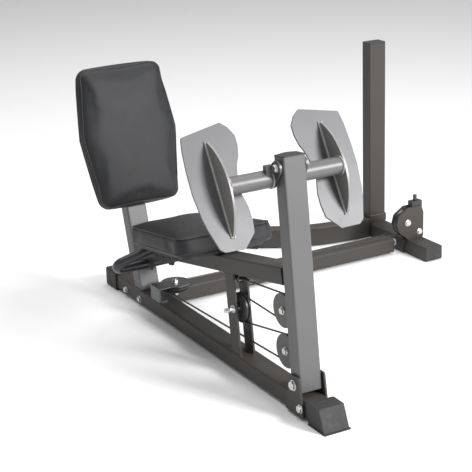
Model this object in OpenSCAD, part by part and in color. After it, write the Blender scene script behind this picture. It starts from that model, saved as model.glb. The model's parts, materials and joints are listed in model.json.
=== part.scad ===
// Seated leg press station, a side attachment of a multi station gym.
// Frame: X to the seated user's left, Y to the user's back, Z up, floor at Z = 0.
// The user sits at the +Y end and pushes the foot plates toward -Y.
// Lengths are in millimetres, angles in degrees.

/* [Frame tubes] */
// Width of the main rectangular tube
tube_w = 70; // [60:1:80]
// Depth of the main rectangular tube
tube_d = 50; // [40:1:60]
// Wall of the rectangular tube
tube_wall = 2.5; // [1.5:0.5:4]
// Outer corner radius of the rectangular tube
tube_corner = 5; // [2:1:8]
// Height of the underside of the base tube above the floor
base_lift = 8; // [4:1:14]

/* [Back rest] */
// Backward lean of the back post
post_lean = 15.7; // [10:0.1:22]
// Thickness of the back cushion
back_pad_t = 58; // [40:1:80]

/* [Seat] */
// Slope of the seat rail, front end up
rail_slope = 10.7; // [5:0.1:15]
// Thickness of the seat cushion
seat_pad_t = 62; // [40:1:80]

/* [Press arm] */
// Backward lean of the arm at rest
arm_lean = 6; // [0:0.5:12]
// Length of the arm tube above its pivot
arm_len = 640; // [500:5:700]
// Diameter of the arm pivot bolt
arm_pin_d = 16; // [12:1:20]

/* [Foot plates] */
// Outer diameter of the cross tube
foot_tube_d = 50; // [38:1:60]
// Thickness of a foot plate
foot_plate_t = 6; // [4:1:10]
// Lean of the foot plates from the vertical
foot_lean = 30; // [15:1:45]

/* [Pulleys] */
// Outer diameter of a pulley
pulley_d = 92; // [80:1:100]
// Width of a pulley hub
pulley_w = 22; // [18:1:26]
// Width of a pulley rim
rim_w = 16; // [14:1:18]
// Cable diameter
cable_d = 5.5; // [4:0.5:7]

/* [Display] */
// Sub-part to show

/* [Hidden] */

fine = 48;
small = 24;
// Shift from the working frame (centre line of the base tube) to the middle of the whole object
mid_x = 408.5;
mid_y = 71.6;
half_w = tube_w / 2;
half_d = tube_d / 2;
base_top = base_lift + tube_d;
base_rear = 712;
base_front = -640;
// Press arm frame: origin on the pivot, Z along the arm, -Y toward the front
arm_y = -521.5;
arm_z = 92;
link_s = 611;
foot_s = 578.8;
foot_b = 35.4;
link_y = arm_y + link_s * sin(arm_lean);
link_z = arm_z + link_s * cos(arm_lean);
foot_y = arm_y + foot_s * sin(arm_lean) + foot_b * cos(arm_lean);
foot_z = arm_z + foot_s * cos(arm_lean) - foot_b * sin(arm_lean);
// Foot plates: middle of the weld line of the ribs
plate_y = -390;
plate_z = 647.5;
rib_x = 181;
rib_t = 6;
link_in = 38;
link_t = 7;
// Pulleys: cable centre line radius and the four centres in the working frame
pull_r = pulley_d / 2;
wrap_r = pull_r - 2.8;
groove_r = wrap_r - cable_d / 2 - 0.3;
cheek_b = 73;
up_s = 193.6;
low_s = 75.2;
up_y = arm_y + up_s * sin(arm_lean) + cheek_b * cos(arm_lean);
up_z = arm_z + up_s * cos(arm_lean) - cheek_b * sin(arm_lean);
low_y = arm_y + low_s * sin(arm_lean) + cheek_b * cos(arm_lean);
low_z = arm_z + low_s * cos(arm_lean) - cheek_b * sin(arm_lean);
mid_px = -6;
mid_py = -176;
mid_pz = 202;
floor_x = wrap_r;
floor_y = 352;
floor_z = 90;
tower_x = 1004;
tower_y = floor_y + wrap_r;
tower_z = 120;
anchor_y = -226;
anchor_z = 296;
// Connecting tube, gym tube and mast
con_y = 440;
gym_x = 1040;
gym_w = tube_w;
mast_y = 643;
mast_z0 = base_top - 4;
mast_h = 678;
// Back post
post_y = 450;
post_len = 680;
post_n = post_y + half_d / cos(post_lean);
// Seat rail: centre line at the front end
rail_y0 = -453;
rail_z0 = 389;
rail_len = 952;
// Pull pin: place along the rail and height from its centre line
pin_row = 822;
pin_h = -6;
knob_d = 30;

// Tangent helpers in the YZ plane
function unit2(v) = v / norm(v);
function turn2(v, a) = [v[0] * cos(a) - v[1] * sin(a), v[0] * sin(a) + v[1] * cos(a)];
function cross_t(c1, c2, r, side) = c1 + r * turn2(unit2(c2 - c1), side * acos(2 * r / norm(c2 - c1)));
function point_t(c, p, r, side) = c + r * turn2(unit2(p - c), side * acos(r / norm(p - c)));

c_up = [up_y, up_z];
c_low = [low_y, low_z];
c_mid = [mid_py, mid_pz];
p_anchor = [anchor_y, anchor_z];
p_floor = [floor_y, floor_z];
t_up_in = point_t(c_up, p_anchor, wrap_r, 1);
t_up_out = cross_t(c_up, c_mid, wrap_r, -1);
t_mid_in = cross_t(c_mid, c_up, wrap_r, -1);
t_mid_out = cross_t(c_mid, c_low, wrap_r, 1);
t_low_in = cross_t(c_low, c_mid, wrap_r, 1);
t_low_out = point_t(c_low, p_floor, wrap_r, -1);

function ang2(c, p) = atan2(p[1] - c[1], p[0] - c[0]);

// Rounded rectangle outline
module rrect(w, d, r) {
  offset(r = r, $fn = 20) square([w - 2 * r, d - 2 * r], center = true);
}

// Hollow rectangular tube standing on Z = 0
module rtube(w, d, len, wall = tube_wall, r = tube_corner) {
  linear_extrude(height = len)
    difference() {
      rrect(w, d, r);
      rrect(w - 2 * wall, d - 2 * wall, r - wall + 0.5);
    }
}

// Rounded outline from a list of corners
module outline(pts, r) {
  offset(r = r, $fn = 20) offset(delta = -r) polygon(pts);
}

// Plate drawn in the YZ plane, from x0 to x0 + t
module side_plate(x0, t) {
  translate([x0, 0, 0])
    rotate([90, 0, 90])
      linear_extrude(height = t)
        children();
}

// Plate drawn in the XZ plane, from y0 to y0 + t
module face_plate(y0, t) {
  translate([0, y0 + t, 0])
    rotate([90, 0, 0])
      linear_extrude(height = t)
        children();
}

// Round bar along X, centred on x
module bar_x(d, len, x = 0) {
  translate([x - len / 2, 0, 0])
    rotate([0, 90, 0])
      cylinder(d = d, h = len, $fn = fine);
}

// Hexagon bolt head standing along +Z
module hex_head(af, h) {
  cylinder(d = af / cos(30), h = h, $fn = 6);
}

// Bolt along X: head on the -X side, nut on the +X side
module bolt_x(d, x0, x1, af, h) {
  bar_x(d, x1 - x0, (x0 + x1) / 2);
  translate([x0 - h, 0, 0])
    rotate([0, 90, 0])
      hex_head(af, h);
  translate([x1, 0, 0])
    rotate([0, 90, 0])
      hex_head(af, h);
}

// Everything is drawn in the working frame and moved to the shared frame once
module place() {
  translate([-mid_x, -mid_y, 0]) children();
}

module in_arm() {
  translate([0, arm_y, arm_z])
    rotate([-arm_lean, 0, 0])
      children();
}

module in_plate() {
  translate([0, plate_y, plate_z])
    rotate([-foot_lean, 0, 0])
      children();
}

module in_rail() {
  translate([0, rail_y0, rail_z0])
    rotate([-rail_slope, 0, 0])
      children();
}

module in_post() {
  translate([0, post_n, base_top])
    rotate([-post_lean, 0, 0])
      children();
}

// ---------- frame ----------

module base_tube() {
  color([0.24, 0.23, 0.22]) place()
    translate([0, base_rear, base_lift + half_d])
      rotate([90, 0, 0])
        rtube(tube_w, tube_d, base_rear - base_front);
}

module rear_foot_cap() {
  color([0.05, 0.05, 0.05]) place()
    difference() {
      translate([0, base_rear - 68, 0])
        rotate([-90, 0, 0])
          translate([0, -32, 0])
            linear_extrude(height = 78)
              rrect(80, 64, 6);
      translate([-half_w - 0.2, base_rear - 70, base_lift - 0.2])
        cube([tube_w + 0.4, 70.3, tube_d + 0.4]);
    }
}

module front_foot_cap() {
  color([0.05, 0.05, 0.05]) place()
    difference() {
      union() {
        side_plate(-40.5, 81)
          outline([[-592, 1], [-586, 62], [-598, 67], [-647, 66], [-674, 1]], 1.5);
        translate([-42.5, -678, 0])
          cube([85, 86, 4]);
      }
      translate([-half_w - 0.2, base_front - 0.3, base_lift - 0.2])
        cube([tube_w + 0.4, 80, tube_d + 0.4]);
    }
}

module connecting_tube() {
  color([0.28, 0.28, 0.30]) place() {
    translate([half_w, con_y, base_lift + half_d])
      rotate([90, 0, 90])
        rtube(tube_w, tube_d, gym_x - half_w * 2 - 41);
    translate([gym_x - half_w - 6, con_y - 42, base_lift - 3])
      cube([6, 84, tube_d + 2]);
  }
}

module gym_base_tube() {
  color([0.24, 0.23, 0.22]) place()
    translate([gym_x, 672, base_lift + half_d - 4])
      rotate([90, 0, 0])
        rtube(tube_w, tube_d, 400);
}

module gym_tube_cap() {
  color([0.05, 0.05, 0.05]) place()
    translate([gym_x, 271.8, base_lift + half_d - 4])
      rotate([90, 0, 0]) {
        linear_extrude(height = 4) rrect(tube_w, tube_d, tube_corner);
        translate([0, 0, -14.8])
          linear_extrude(height = 15)
            rrect(tube_w - 2 * tube_wall - 0.6, tube_d - 2 * tube_wall - 0.6, 3);
      }
}

module mast() {
  color([0.26, 0.27, 0.29]) place()
    translate([gym_x, mast_y, mast_z0]) {
      rtube(tube_w, tube_d, mast_h);
      difference() {
        linear_extrude(height = 26) rrect(tube_w + 8, tube_d + 8, 6);
        translate([0, 0, -1])
          linear_extrude(height = 28)
            rrect(tube_w - 1, tube_d - 1, tube_corner);
      }
    }
}

module mast_cap() {
  color([0.05, 0.05, 0.05]) place()
    translate([gym_x, mast_y, mast_z0 + mast_h + 0.2]) {
      linear_extrude(height = 5) rrect(tube_w, tube_d, tube_corner);
      translate([0, 0, -14.8])
        linear_extrude(height = 15)
          rrect(tube_w - 2 * tube_wall - 0.6, tube_d - 2 * tube_wall - 0.6, 3);
    }
}

module tower_foot_tube() {
  color([0.28, 0.28, 0.30]) place() tower_foot_end();
  color([0.28, 0.28, 0.30]) place()
    translate([949, 1194, 4 + half_w])
      rotate([0, 0, 226])
        rotate_extrude(angle = 44, $fn = 160)
          translate([556, 0])
            difference() {
              rrect(tube_d, tube_w, tube_corner);
              rrect(tube_d - 2 * tube_wall, tube_w - 2 * tube_wall, 3);
            }
}

// Straight end of the tower foot, butted to the gym tube
module tower_foot_end() {
  translate([949, 638, 4 + half_w])
    rotate([90, 0, 90])
      rtube(tube_d, tube_w, gym_x - half_w - 949 - 4.2);
}

module tower_foot_cap() {
  color([0.05, 0.05, 0.05]) place()
    translate([949, 1194, 0])
      rotate([0, 0, 226])
        translate([556, 3, 0])
          difference() {
            translate([0, 0, 42])
              rotate([90, 0, 0])
                translate([0, 0, -50])
                  linear_extrude(height = 60)
                    rrect(62, 84, 6);
            translate([-556, -3, 4 + half_w])
              rotate([0, 0, -0.04])
                rotate_extrude(angle = 9, $fn = 160)
                  translate([556, 0]) rrect(tube_d + 1, tube_w + 1, tube_corner);
          }
}

module pivot_plate_outline() {
  outline([[-570, 8], [-551, 121], [-504, 121], [-478, 8]], 4);
}

module pivot_plate_right() {
  color([0.24, 0.23, 0.22]) place()
    difference() {
      union() {
        side_plate(-43, 6) pivot_plate_outline();
        translate([-37.2, -562, 14]) cube([2.2, 78, 38]);
      }
      translate([-40, arm_y, arm_z]) bar_x(arm_pin_d + 0.4, 20);
    }
}

module pivot_plate_left() {
  color([0.24, 0.23, 0.22]) place()
    difference() {
      union() {
        side_plate(37, 6) pivot_plate_outline();
        translate([35, -562, 14]) cube([2.2, 78, 38]);
      }
      translate([40, arm_y, arm_z]) bar_x(arm_pin_d + 0.4, 20);
    }
}

module pivot_bolt() {
  color([0.75, 0.75, 0.76]) place()
    translate([0, arm_y, arm_z])
      bolt_x(arm_pin_d, -43.2, 43.2, 24, 9);
}

module back_post() {
  color([0.62, 0.63, 0.65]) place()
    difference() {
      in_post()
        translate([0, 0, -20])
          rtube(tube_w, tube_d, post_len + 20);
      translate([-100, 300, base_top - 60]) cube([200, 400, 60]);
    }
}

module post_cap() {
  color([0.05, 0.05, 0.05]) place()
    in_post()
      translate([0, 0, post_len + 0.2]) {
        linear_extrude(height = 4) rrect(tube_w, tube_d, tube_corner);
        translate([0, 0, -14.8])
          linear_extrude(height = 15)
            rrect(tube_w - 2 * tube_wall - 0.6, tube_d - 2 * tube_wall - 0.6, 3);
      }
}

module upright_outline() {
  difference() {
    polygon([[-208, base_top], [-158, base_top], [-127, 301.7], [-177, 311.1]]);
    translate([mid_py, mid_pz]) circle(d = 12.4, $fn = fine);
  }
}

module upright_plate_right() {
  color([0.24, 0.23, 0.22]) place() side_plate(-32, 6) upright_outline();
}

module upright_plate_left() {
  color([0.24, 0.23, 0.22]) place() side_plate(13, 6) upright_outline();
}

module seat_rail() {
  color([0.26, 0.25, 0.24]) place()
    difference() {
      in_rail()
        rotate([-90, 0, 0])
          rtube(tube_w, tube_d, rail_len + 60);
      in_post()
        translate([-60, -half_d, -100])
          cube([120, 200, 900]);
      for (i = [0 : 5])
        in_rail()
          translate([-half_w, pin_row - 160 + i * 40, pin_h])
            bar_x(10.6, 14);
    }
}

module rail_end_cap() {
  color([0.05, 0.05, 0.05]) place()
    in_rail()
      rotate([90, 0, 0])
        translate([0, 0, 0.2]) {
          linear_extrude(height = 4) rrect(tube_w, tube_d, tube_corner);
          translate([0, 0, -14.8])
            linear_extrude(height = 15)
              rrect(tube_w - 2 * tube_wall - 0.6, tube_d - 2 * tube_wall - 0.6, 3);
        }
}

module rail_bumper() {
  color([0.04, 0.04, 0.04]) place()
    difference() {
      in_arm()
        translate([0, 25.3, 301.5])
          rotate([-90, 0, 0])
            cylinder(d1 = 30, d2 = 36, h = 9.2, $fn = fine);
      in_rail()
        translate([-50, -4.3, -60]) cube([100, 60, 120]);
    }
}

module cable_anchor() {
  a = atan2(t_up_in[1] - anchor_z, t_up_in[0] - anchor_y);
  color([0.72, 0.72, 0.73]) place() {
    difference() {
      translate([-12, -151, 268]) cube([24, 5, 60]);
      in_rail()
        translate([-50, 200, -half_d - 0.1]) cube([100, 200, 60]);
    }
    translate([0, anchor_y, anchor_z])
      rotate([a - 90, 0, 0]) {
        translate([0, 0, -92]) cylinder(d = 10, h = 80, $fn = small);
        translate([0, 0, -26]) cylinder(d = 13, h = 26, $fn = fine);
        translate([0, 0, -74]) hex_head(18, 12);
      }
  }
}

module floor_pulley_bracket() {
  color([0.40, 0.40, 0.41]) place() {
    translate([floor_x, floor_y, floor_z + pulley_w / 2 + 1])
      difference() {
        cylinder(d = 96, h = 4, $fn = 64);
        translate([0, 0, -1]) cylinder(d = 10.4, h = 8, $fn = fine);
      }
    translate([-34, floor_y - 34, base_top]) cube([30, 62, 5]);
    translate([-34, floor_y - 34, base_top + 4]) cube([5, 62, floor_z + pulley_w / 2 + 1 - base_top]);
    translate([-34, floor_y - 34, floor_z + pulley_w / 2 + 1]) cube([52, 62, 4]);
  }
}

module tower_outline() {
  outline([[tower_x - 40, tower_z + 30], [tower_x - 48, tower_z], [tower_x - 36, tower_z - 32],
    [tower_x + 4, base_top - 4], [gym_x + 34, base_top - 4], [gym_x + 34, tower_z + 30],
    [gym_x + 24, tower_z + 56], [tower_x + 2, tower_z + 56]], 8);
}

module tower_pulley_bracket() {
  color([0.30, 0.29, 0.27]) place() {
    for (y = [tower_y - pulley_w / 2 - 6.5, tower_y + pulley_w / 2 + 1.5])
      face_plate(y, 5)
        difference() {
          tower_outline();
          translate([tower_x, tower_z]) circle(d = 12.4, $fn = fine);
        }
    translate([1056, tower_y - pulley_w / 2 - 2, 79])
      rotate([-90, 0, 0])
        cylinder(d = 16, h = pulley_w + 4, $fn = fine);
    difference() {
      translate([tower_x + 22, tower_y - pulley_w / 2 - 1.6, tower_z + 50])
        cube([44, pulley_w + 3.2, 24]);
      translate([tower_x + wrap_r, tower_y, 0])
        cylinder(d = cable_d + 2, h = 400, $fn = small);
    }
  }
}

module pulley_bolts() {
  color([0.75, 0.75, 0.76]) place() {
    translate([0, mid_py, mid_pz]) {
      bolt_x(12, -32.2, 19.2, 18, 7);
      bar_x(14, 24, -50);
    }
    translate([floor_x, floor_y, 0]) {
      translate([0, 0, floor_z - pulley_w / 2 - 9]) cylinder(d = 10, h = pulley_w + 16, $fn = fine);
      translate([0, 0, floor_z - pulley_w / 2 - 9.2]) hex_head(17, 8);
      translate([0, 0, floor_z + pulley_w / 2 + 5.2]) hex_head(17, 8);
      translate([0, 0, floor_z + pulley_w / 2 + 13]) cylinder(d = 10, h = 6, $fn = fine);
    }
    translate([tower_x, tower_y, tower_z])
      rotate([0, 0, 90])
        bolt_x(12, -pulley_w / 2 - 6.8, pulley_w / 2 + 6.8, 19, 7);
    translate([1056, tower_y - pulley_w / 2 - 6.6, 79])
      rotate([90, 0, 0]) hex_head(17, 7);
  }
}

module frame_bolts() {
  color([0.75, 0.75, 0.76]) place() {
    for (y = [394, 500])
      translate([-half_w - 0.1, y, base_lift + 18])
        rotate([0, -90, 0]) hex_head(16, 8);
    translate([-43.2, -556, 34]) rotate([0, -90, 0]) hex_head(19, 7);
    translate([gym_x - half_w - 0.1, 380, base_lift + 20])
      rotate([0, -90, 0]) hex_head(19, 8);
    translate([gym_x - half_w - 26, 612.9, 50])
      rotate([90, 0, 0]) hex_head(19, 8);
  }
}

module back_board() {
  color([0.10, 0.10, 0.10]) place()
    in_post()
      translate([0, -half_d - 0.2, 0])
        face_plate(-14, 14)
          difference() {
            outline([[-120, 330], [-120, 710], [120, 710], [120, 330]], 30);
            for (s = [420, 640]) translate([0, s]) circle(d = 9, $fn = small);
          }
}

module back_pad() {
  color([0.07, 0.07, 0.08]) place()
    in_post()
      translate([0, -half_d - 14.5, 0])
        face_plate(-back_pad_t, back_pad_t)
          outline([[-143, 279], [-176, 520], [-148, 749], [148, 749], [176, 520], [143, 279]], 40);
}

// ---------- seat carriage ----------

module carriage_outline() {
  outline([[640, -20], [640, 26], [868, 26], [880, 0], [874, -58], [858, -72], [832, -72],
    [806, -38], [690, -34]], 8);
}

module carriage_plate_right() {
  color([0.16, 0.15, 0.15]) place()
    difference() {
      in_rail()
        side_plate(-41.5, 5)
          difference() {
            carriage_outline();
            translate([pin_row, pin_h]) circle(d = 14.4, $fn = fine);
            for (y = [684, 728, 772]) translate([y, -17]) circle(d = 7, $fn = small);
            translate([850, -49]) circle(d = 32.4, $fn = fine);
          }
    }
}

module carriage_plate_left() {
  color([0.16, 0.15, 0.15]) place()
    in_rail()
      side_plate(36.5, 5)
        difference() {
          carriage_outline();
          translate([850, -49]) circle(d = 32.4, $fn = fine);
        }
}

module seat_board() {
  color([0.10, 0.10, 0.10]) place()
    in_rail()
      translate([0, 0, 26.6])
        linear_extrude(height = 10)
          outline([[-140, 370], [140, 370], [112, 770], [-112, 770]], 24);
}

module seat_pad() {
  color([0.07, 0.07, 0.08]) place()
    in_rail()
      translate([0, 0, 37])
        linear_extrude(height = seat_pad_t)
          outline([[-172, 338], [172, 338], [131, 790], [-131, 790]], 44);
}

// One end of the handle bar: a bend and a straight leg that leads back to its carriage plate
module handle_end(side) {
  turn = 150;
  bend = 24;
  translate([side * 134.1, 0, bend])
    rotate([90, 0, 90 - 90 * side]) {
      rotate([0, 0, -90])
        rotate_extrude(angle = turn, $fn = 96)
          translate([bend, 0]) circle(d = 32, $fn = 32);
      rotate([0, 0, turn - 90])
        translate([bend, 0.1, 0])
          rotate([-90, 0, 0])
            cylinder(d = 32, h = 111, $fn = 32);
    }
}

// The straight bar, its two bends and its two legs meet with a gap of 0.1
module handle_bar() {
  tilt = 53;
  color([0.30, 0.30, 0.31]) place()
    in_rail()
      translate([0, 850, -49]) {
        bar_x(32, 268);
        rotate([tilt, 0, 0]) {
          handle_end(1);
          handle_end(-1);
        }
      }
}

module pull_pin_housing() {
  color([0.12, 0.12, 0.12]) place()
    in_rail()
      translate([-41.7, pin_row, pin_h])
        rotate([0, -90, 0])
          difference() {
            union() {
              cylinder(d = 24, h = 4, $fn = 6);
              cylinder(d = 20, h = 16, $fn = fine);
            }
            translate([0, 0, -1]) cylinder(d = 10.12, h = 20, $fn = fine);
          }
}

module pull_pin() {
  color([0.10, 0.10, 0.11]) place()
    in_rail()
      translate([0, pin_row, pin_h]) {
        bar_x(10, 28.4, -49.6);
        translate([-60, 0, 0])
          rotate([0, -90, 0]) {
            cylinder(d1 = knob_d - 10, d2 = knob_d, h = 8, $fn = fine);
            translate([0, 0, 8]) cylinder(d = knob_d, h = 10, $fn = fine);
            translate([0, 0, 18]) cylinder(d1 = knob_d, d2 = knob_d - 8, h = 5, $fn = fine);
          }
      }
}

// ---------- press arm ----------

module arm_tube() {
  color([0.62, 0.63, 0.65]) place()
    in_arm()
      difference() {
        translate([0, 0, -20]) rtube(tube_w, tube_d, arm_len + 20);
        bar_x(24.4, 100);
        translate([0, 0, link_s]) bar_x(12.4, 100);
      }
}

module arm_cap() {
  color([0.14, 0.14, 0.14]) place()
    in_arm()
      translate([0, 0, arm_len + 0.2]) {
        linear_extrude(height = 3) rrect(tube_w, tube_d, tube_corner);
        translate([0, 0, 3])
          intersection() {
            translate([0, 0, -149]) rotate([90, 0, 0]) cylinder(r = 152, h = 80, center = true, $fn = 160);
            translate([-30, -20, -1]) cube([60, 40, 20]);
          }
        translate([0, 0, -14.8])
          linear_extrude(height = 15)
            rrect(tube_w - 2 * tube_wall - 0.6, tube_d - 2 * tube_wall - 0.6, 3);
      }
}

module arm_bushings() {
  color([0.06, 0.06, 0.06]) place()
    in_arm()
      for (s = [-1, 1])
        difference() {
          union() {
            bar_x(24, 8, s * 31.8);
            bar_x(30, 1.4, s * 35.9);
          }
          bar_x(arm_pin_d + 0.1, 20, s * 32);
        }
}

module cheek_outline(s) {
  difference() {
    intersection() {
      union() {
        translate([cheek_b, s]) circle(r = 50, $fn = 72);
        translate([half_d + 0.2, s - 42]) square([cheek_b - half_d - 10, 84]);
      }
      translate([half_d + 0.2, s - 60]) square([150, 120]);
    }
    translate([cheek_b, s]) circle(d = 10.3, $fn = fine);
  }
}

module pulley_cheeks() {
  color([0.34, 0.32, 0.30]) place()
    in_arm()
      for (s = [up_s, low_s])
        for (x = [-pulley_w / 2 - 6, pulley_w / 2 + 1])
          side_plate(x, 5) cheek_outline(s);
}

module cheek_bolts() {
  color([0.75, 0.75, 0.76]) place()
    in_arm()
      for (s = [up_s, low_s])
        translate([0, cheek_b, s])
          bolt_x(10, -pulley_w / 2 - 6.2, pulley_w / 2 + 6.2, 18, 7);
}

module foot_pivot_bolt() {
  color([0.75, 0.75, 0.76]) place()
    in_arm()
      translate([0, 0, link_s])
        bolt_x(12, -link_in - link_t - 0.5, link_in + link_t + 0.5, 19, 8);
}

// ---------- swinging foot plates ----------

module link_outline() {
  difference() {
    hull() {
      translate([link_y, link_z]) circle(r = 21, $fn = 32);
      translate([foot_y, foot_z]) circle(r = 28, $fn = 48);
    }
    translate([link_y, link_z]) circle(d = 12.1, $fn = fine);
  }
}

module foot_link_right() {
  color([0.34, 0.33, 0.31]) place()
    side_plate(-link_in - link_t, link_t) link_outline();
}

module foot_link_left() {
  color([0.34, 0.33, 0.31]) place()
    side_plate(link_in, link_t) link_outline();
}

module foot_half_tube() {
  translate([0, foot_y, foot_z])
    rotate([0, 90, 0])
      difference() {
        cylinder(d = foot_tube_d, h = rib_x - rib_t / 2 - link_in - link_t, $fn = 64);
        translate([0, 0, -1]) cylinder(d = foot_tube_d - 6, h = 200, $fn = 64);
      }
}

module foot_tube_right() {
  color([0.58, 0.58, 0.58]) place()
    translate([-rib_x + rib_t / 2, 0, 0]) foot_half_tube();
}

module foot_tube_left() {
  color([0.58, 0.58, 0.58]) place()
    translate([link_in + link_t, 0, 0]) foot_half_tube();
}

module tie_rod() {
  color([0.40, 0.40, 0.40]) place()
    translate([0, foot_y, foot_z]) bar_x(20, 2 * link_in);
}

module swing_stop() {
  color([0.34, 0.33, 0.31]) place()
    difference() {
      translate([-68, foot_y - 20, foot_z + 14]) cube([68 - link_in - link_t, 18, 27]);
      translate([0, foot_y, foot_z]) bar_x(foot_tube_d, 300);
    }
}

module plate_outline() {
  outline([[250, 158], [257, 122], [261, 64], [262, 0], [254, -69], [246, -103], [228, -158],
    [214, -169], [153, -170], [114, -131], [109, -95], [110, -60], [120, -22], [120, 16],
    [108, 60], [97, 82], [90, 112], [90, 140], [106, 166], [126, 182]], 7);
}

module foot_plate_left() {
  color([0.66, 0.67, 0.69]) place()
    in_plate()
      face_plate(0, foot_plate_t) plate_outline();
}

module foot_plate_right() {
  color([0.66, 0.67, 0.69]) place()
    in_plate()
      face_plate(0, foot_plate_t) mirror([1, 0]) plate_outline();
}

module rib_at(x) {
  in_plate()
    side_plate(x - rib_t / 2, rib_t)
      intersection() {
        translate([111, 0]) circle(r = 177, $fn = 160);
        translate([-80, -150]) square([80, 300]);
      }
}

module foot_rib_right() {
  color([0.45, 0.44, 0.42]) place() rib_at(-rib_x);
}

module foot_rib_left() {
  color([0.45, 0.44, 0.42]) place() rib_at(rib_x);
}

// ---------- pulleys ----------

// Pulley on its own axis along Z, centred on the cable plane
module pulley(bore) {
  w = pulley_w / 2;
  e = rim_w / 2;
  rotate_extrude($fn = 72)
    polygon([[bore / 2, -w], [12, -w], [12, -e], [pull_r - 1.5, -e], [pull_r, -e + 1.5],
      [pull_r, -5], [groove_r, -1.6], [groove_r, 1.6], [pull_r, 5], [pull_r, e - 1.5],
      [pull_r - 1.5, e], [12, e], [12, w], [bore / 2, w]]);
}

module upper_pulley() {
  color([0.05, 0.05, 0.05]) place()
    translate([0, up_y, up_z]) rotate([0, 90, 0]) pulley(10.1);
}

module lower_pulley() {
  color([0.05, 0.05, 0.05]) place()
    translate([0, low_y, low_z]) rotate([0, 90, 0]) pulley(10.1);
}

module mid_pulley() {
  color([0.05, 0.05, 0.05]) place()
    translate([mid_px, mid_py, mid_pz]) rotate([0, 90, 0]) pulley(12.1);
}

module floor_pulley() {
  color([0.05, 0.05, 0.05]) place()
    translate([floor_x, floor_y, floor_z]) pulley(10.1);
}

module tower_pulley() {
  color([0.05, 0.05, 0.05]) place()
    translate([tower_x, tower_y, tower_z]) rotate([90, 0, 0]) pulley(12.1);
}

// ---------- press cable ----------

// Straight cable run between two points, cut short at each end
module run(p, q, gap0 = 0.3, gap1 = 0.3) {
  v = (q - p) / norm(q - p);
  translate(p + v * gap0)
    rotate([0, acos(v[2]), atan2(v[1], v[0])])
      cylinder(d = cable_d, h = norm(q - p) - gap0 - gap1, $fn = 16);
}

// Cable arc around a centre of the YZ plane, from angle a0 through sweep
module wrap_yz(c, a0, sweep, x = 0) {
  translate([x, c[0], c[1]])
    rotate([90, 0, 90])
      rotate([0, 0, a0])
        rotate_extrude(angle = sweep, $fn = 96)
          translate([wrap_r, 0]) circle(d = cable_d, $fn = 16);
}

module cable_front_runs() {
  color([0.03, 0.03, 0.03]) place() {
    run([0, p_anchor[0], p_anchor[1]], [0, t_up_in[0], t_up_in[1]]);
    run([mid_px, t_mid_in[0], t_mid_in[1]], [0, t_up_out[0], t_up_out[1]]);
    run([mid_px, t_mid_out[0], t_mid_out[1]], [0, t_low_in[0], t_low_in[1]]);
    run([0, p_floor[0], p_floor[1]], [0, t_low_out[0], t_low_out[1]]);
  }
}

module cable_arm_wraps() {
  color([0.03, 0.03, 0.03]) place() {
    wrap_yz(c_up, ang2(c_up, t_up_in), 360 - ang2(c_up, t_up_in) + ang2(c_up, t_up_out));
    wrap_yz(c_low, ang2(c_low, t_low_in), 360 - ang2(c_low, t_low_in) + ang2(c_low, t_low_out));
  }
}

module cable_rear_run() {
  color([0.03, 0.03, 0.03]) place() {
    wrap_yz(c_mid, ang2(c_mid, t_mid_out), ang2(c_mid, t_mid_in) - ang2(c_mid, t_mid_out), mid_px);
    translate([floor_x, floor_y, floor_z])
      rotate([0, 0, 90])
        rotate_extrude(angle = 90, $fn = 96)
          translate([wrap_r, 0]) circle(d = cable_d, $fn = 16);
    a = asin((tower_z - floor_z - wrap_r) / (tower_x - floor_x));
    translate([floor_x, tower_y, floor_z])
      rotate([0, 90 - a, 0])
        cylinder(d = cable_d, h = tower_x - floor_x, $fn = 16);
    translate([tower_x, tower_y, tower_z])
      rotate([90, 0, 0])
        rotate([0, 0, -90])
          rotate_extrude(angle = 90, $fn = 96)
            translate([wrap_r, 0]) circle(d = cable_d, $fn = 16);
    translate([tower_x + wrap_r, tower_y, tower_z])
      cylinder(d = cable_d, h = 80, $fn = 16);
    translate([tower_x + wrap_r, tower_y, tower_z + 75])
      cylinder(d = 14, h = 20, $fn = fine);
  }
}

base_tube();
rear_foot_cap();
front_foot_cap();
connecting_tube();
gym_base_tube();
gym_tube_cap();
mast();
mast_cap();
tower_foot_tube();
tower_foot_cap();
pivot_plate_right();
pivot_plate_left();
pivot_bolt();
back_post();
post_cap();
upright_plate_right();
upright_plate_left();
seat_rail();
rail_end_cap();
rail_bumper();
cable_anchor();
floor_pulley_bracket();
tower_pulley_bracket();
pulley_bolts();
frame_bolts();
back_board();
back_pad();
carriage_plate_right();
carriage_plate_left();
seat_board();
seat_pad();
handle_bar();
pull_pin_housing();
pull_pin();
arm_tube();
arm_cap();
arm_bushings();
pulley_cheeks();
cheek_bolts();
foot_pivot_bolt();
foot_link_right();
foot_link_left();
foot_tube_right();
foot_tube_left();
tie_rod();
swing_stop();
foot_plate_right();
foot_plate_left();
foot_rib_right();
foot_rib_left();
upper_pulley();
lower_pulley();
mid_pulley();
floor_pulley();
tower_pulley();
cable_front_runs();
cable_arm_wraps();
cable_rear_run();
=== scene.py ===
"""Seated leg press station: looks, cushions, cable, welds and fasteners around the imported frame.

Everything is in metres in the frame's own axes: +Z up, +X to the seated user's left, +Y to the
user's back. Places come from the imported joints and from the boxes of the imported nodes.
"""

import json
import logging
import math
from dataclasses import dataclass, field
from enum import Enum

import bmesh
import bpy
import numpy as np
from mathutils import Matrix, Vector


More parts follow.
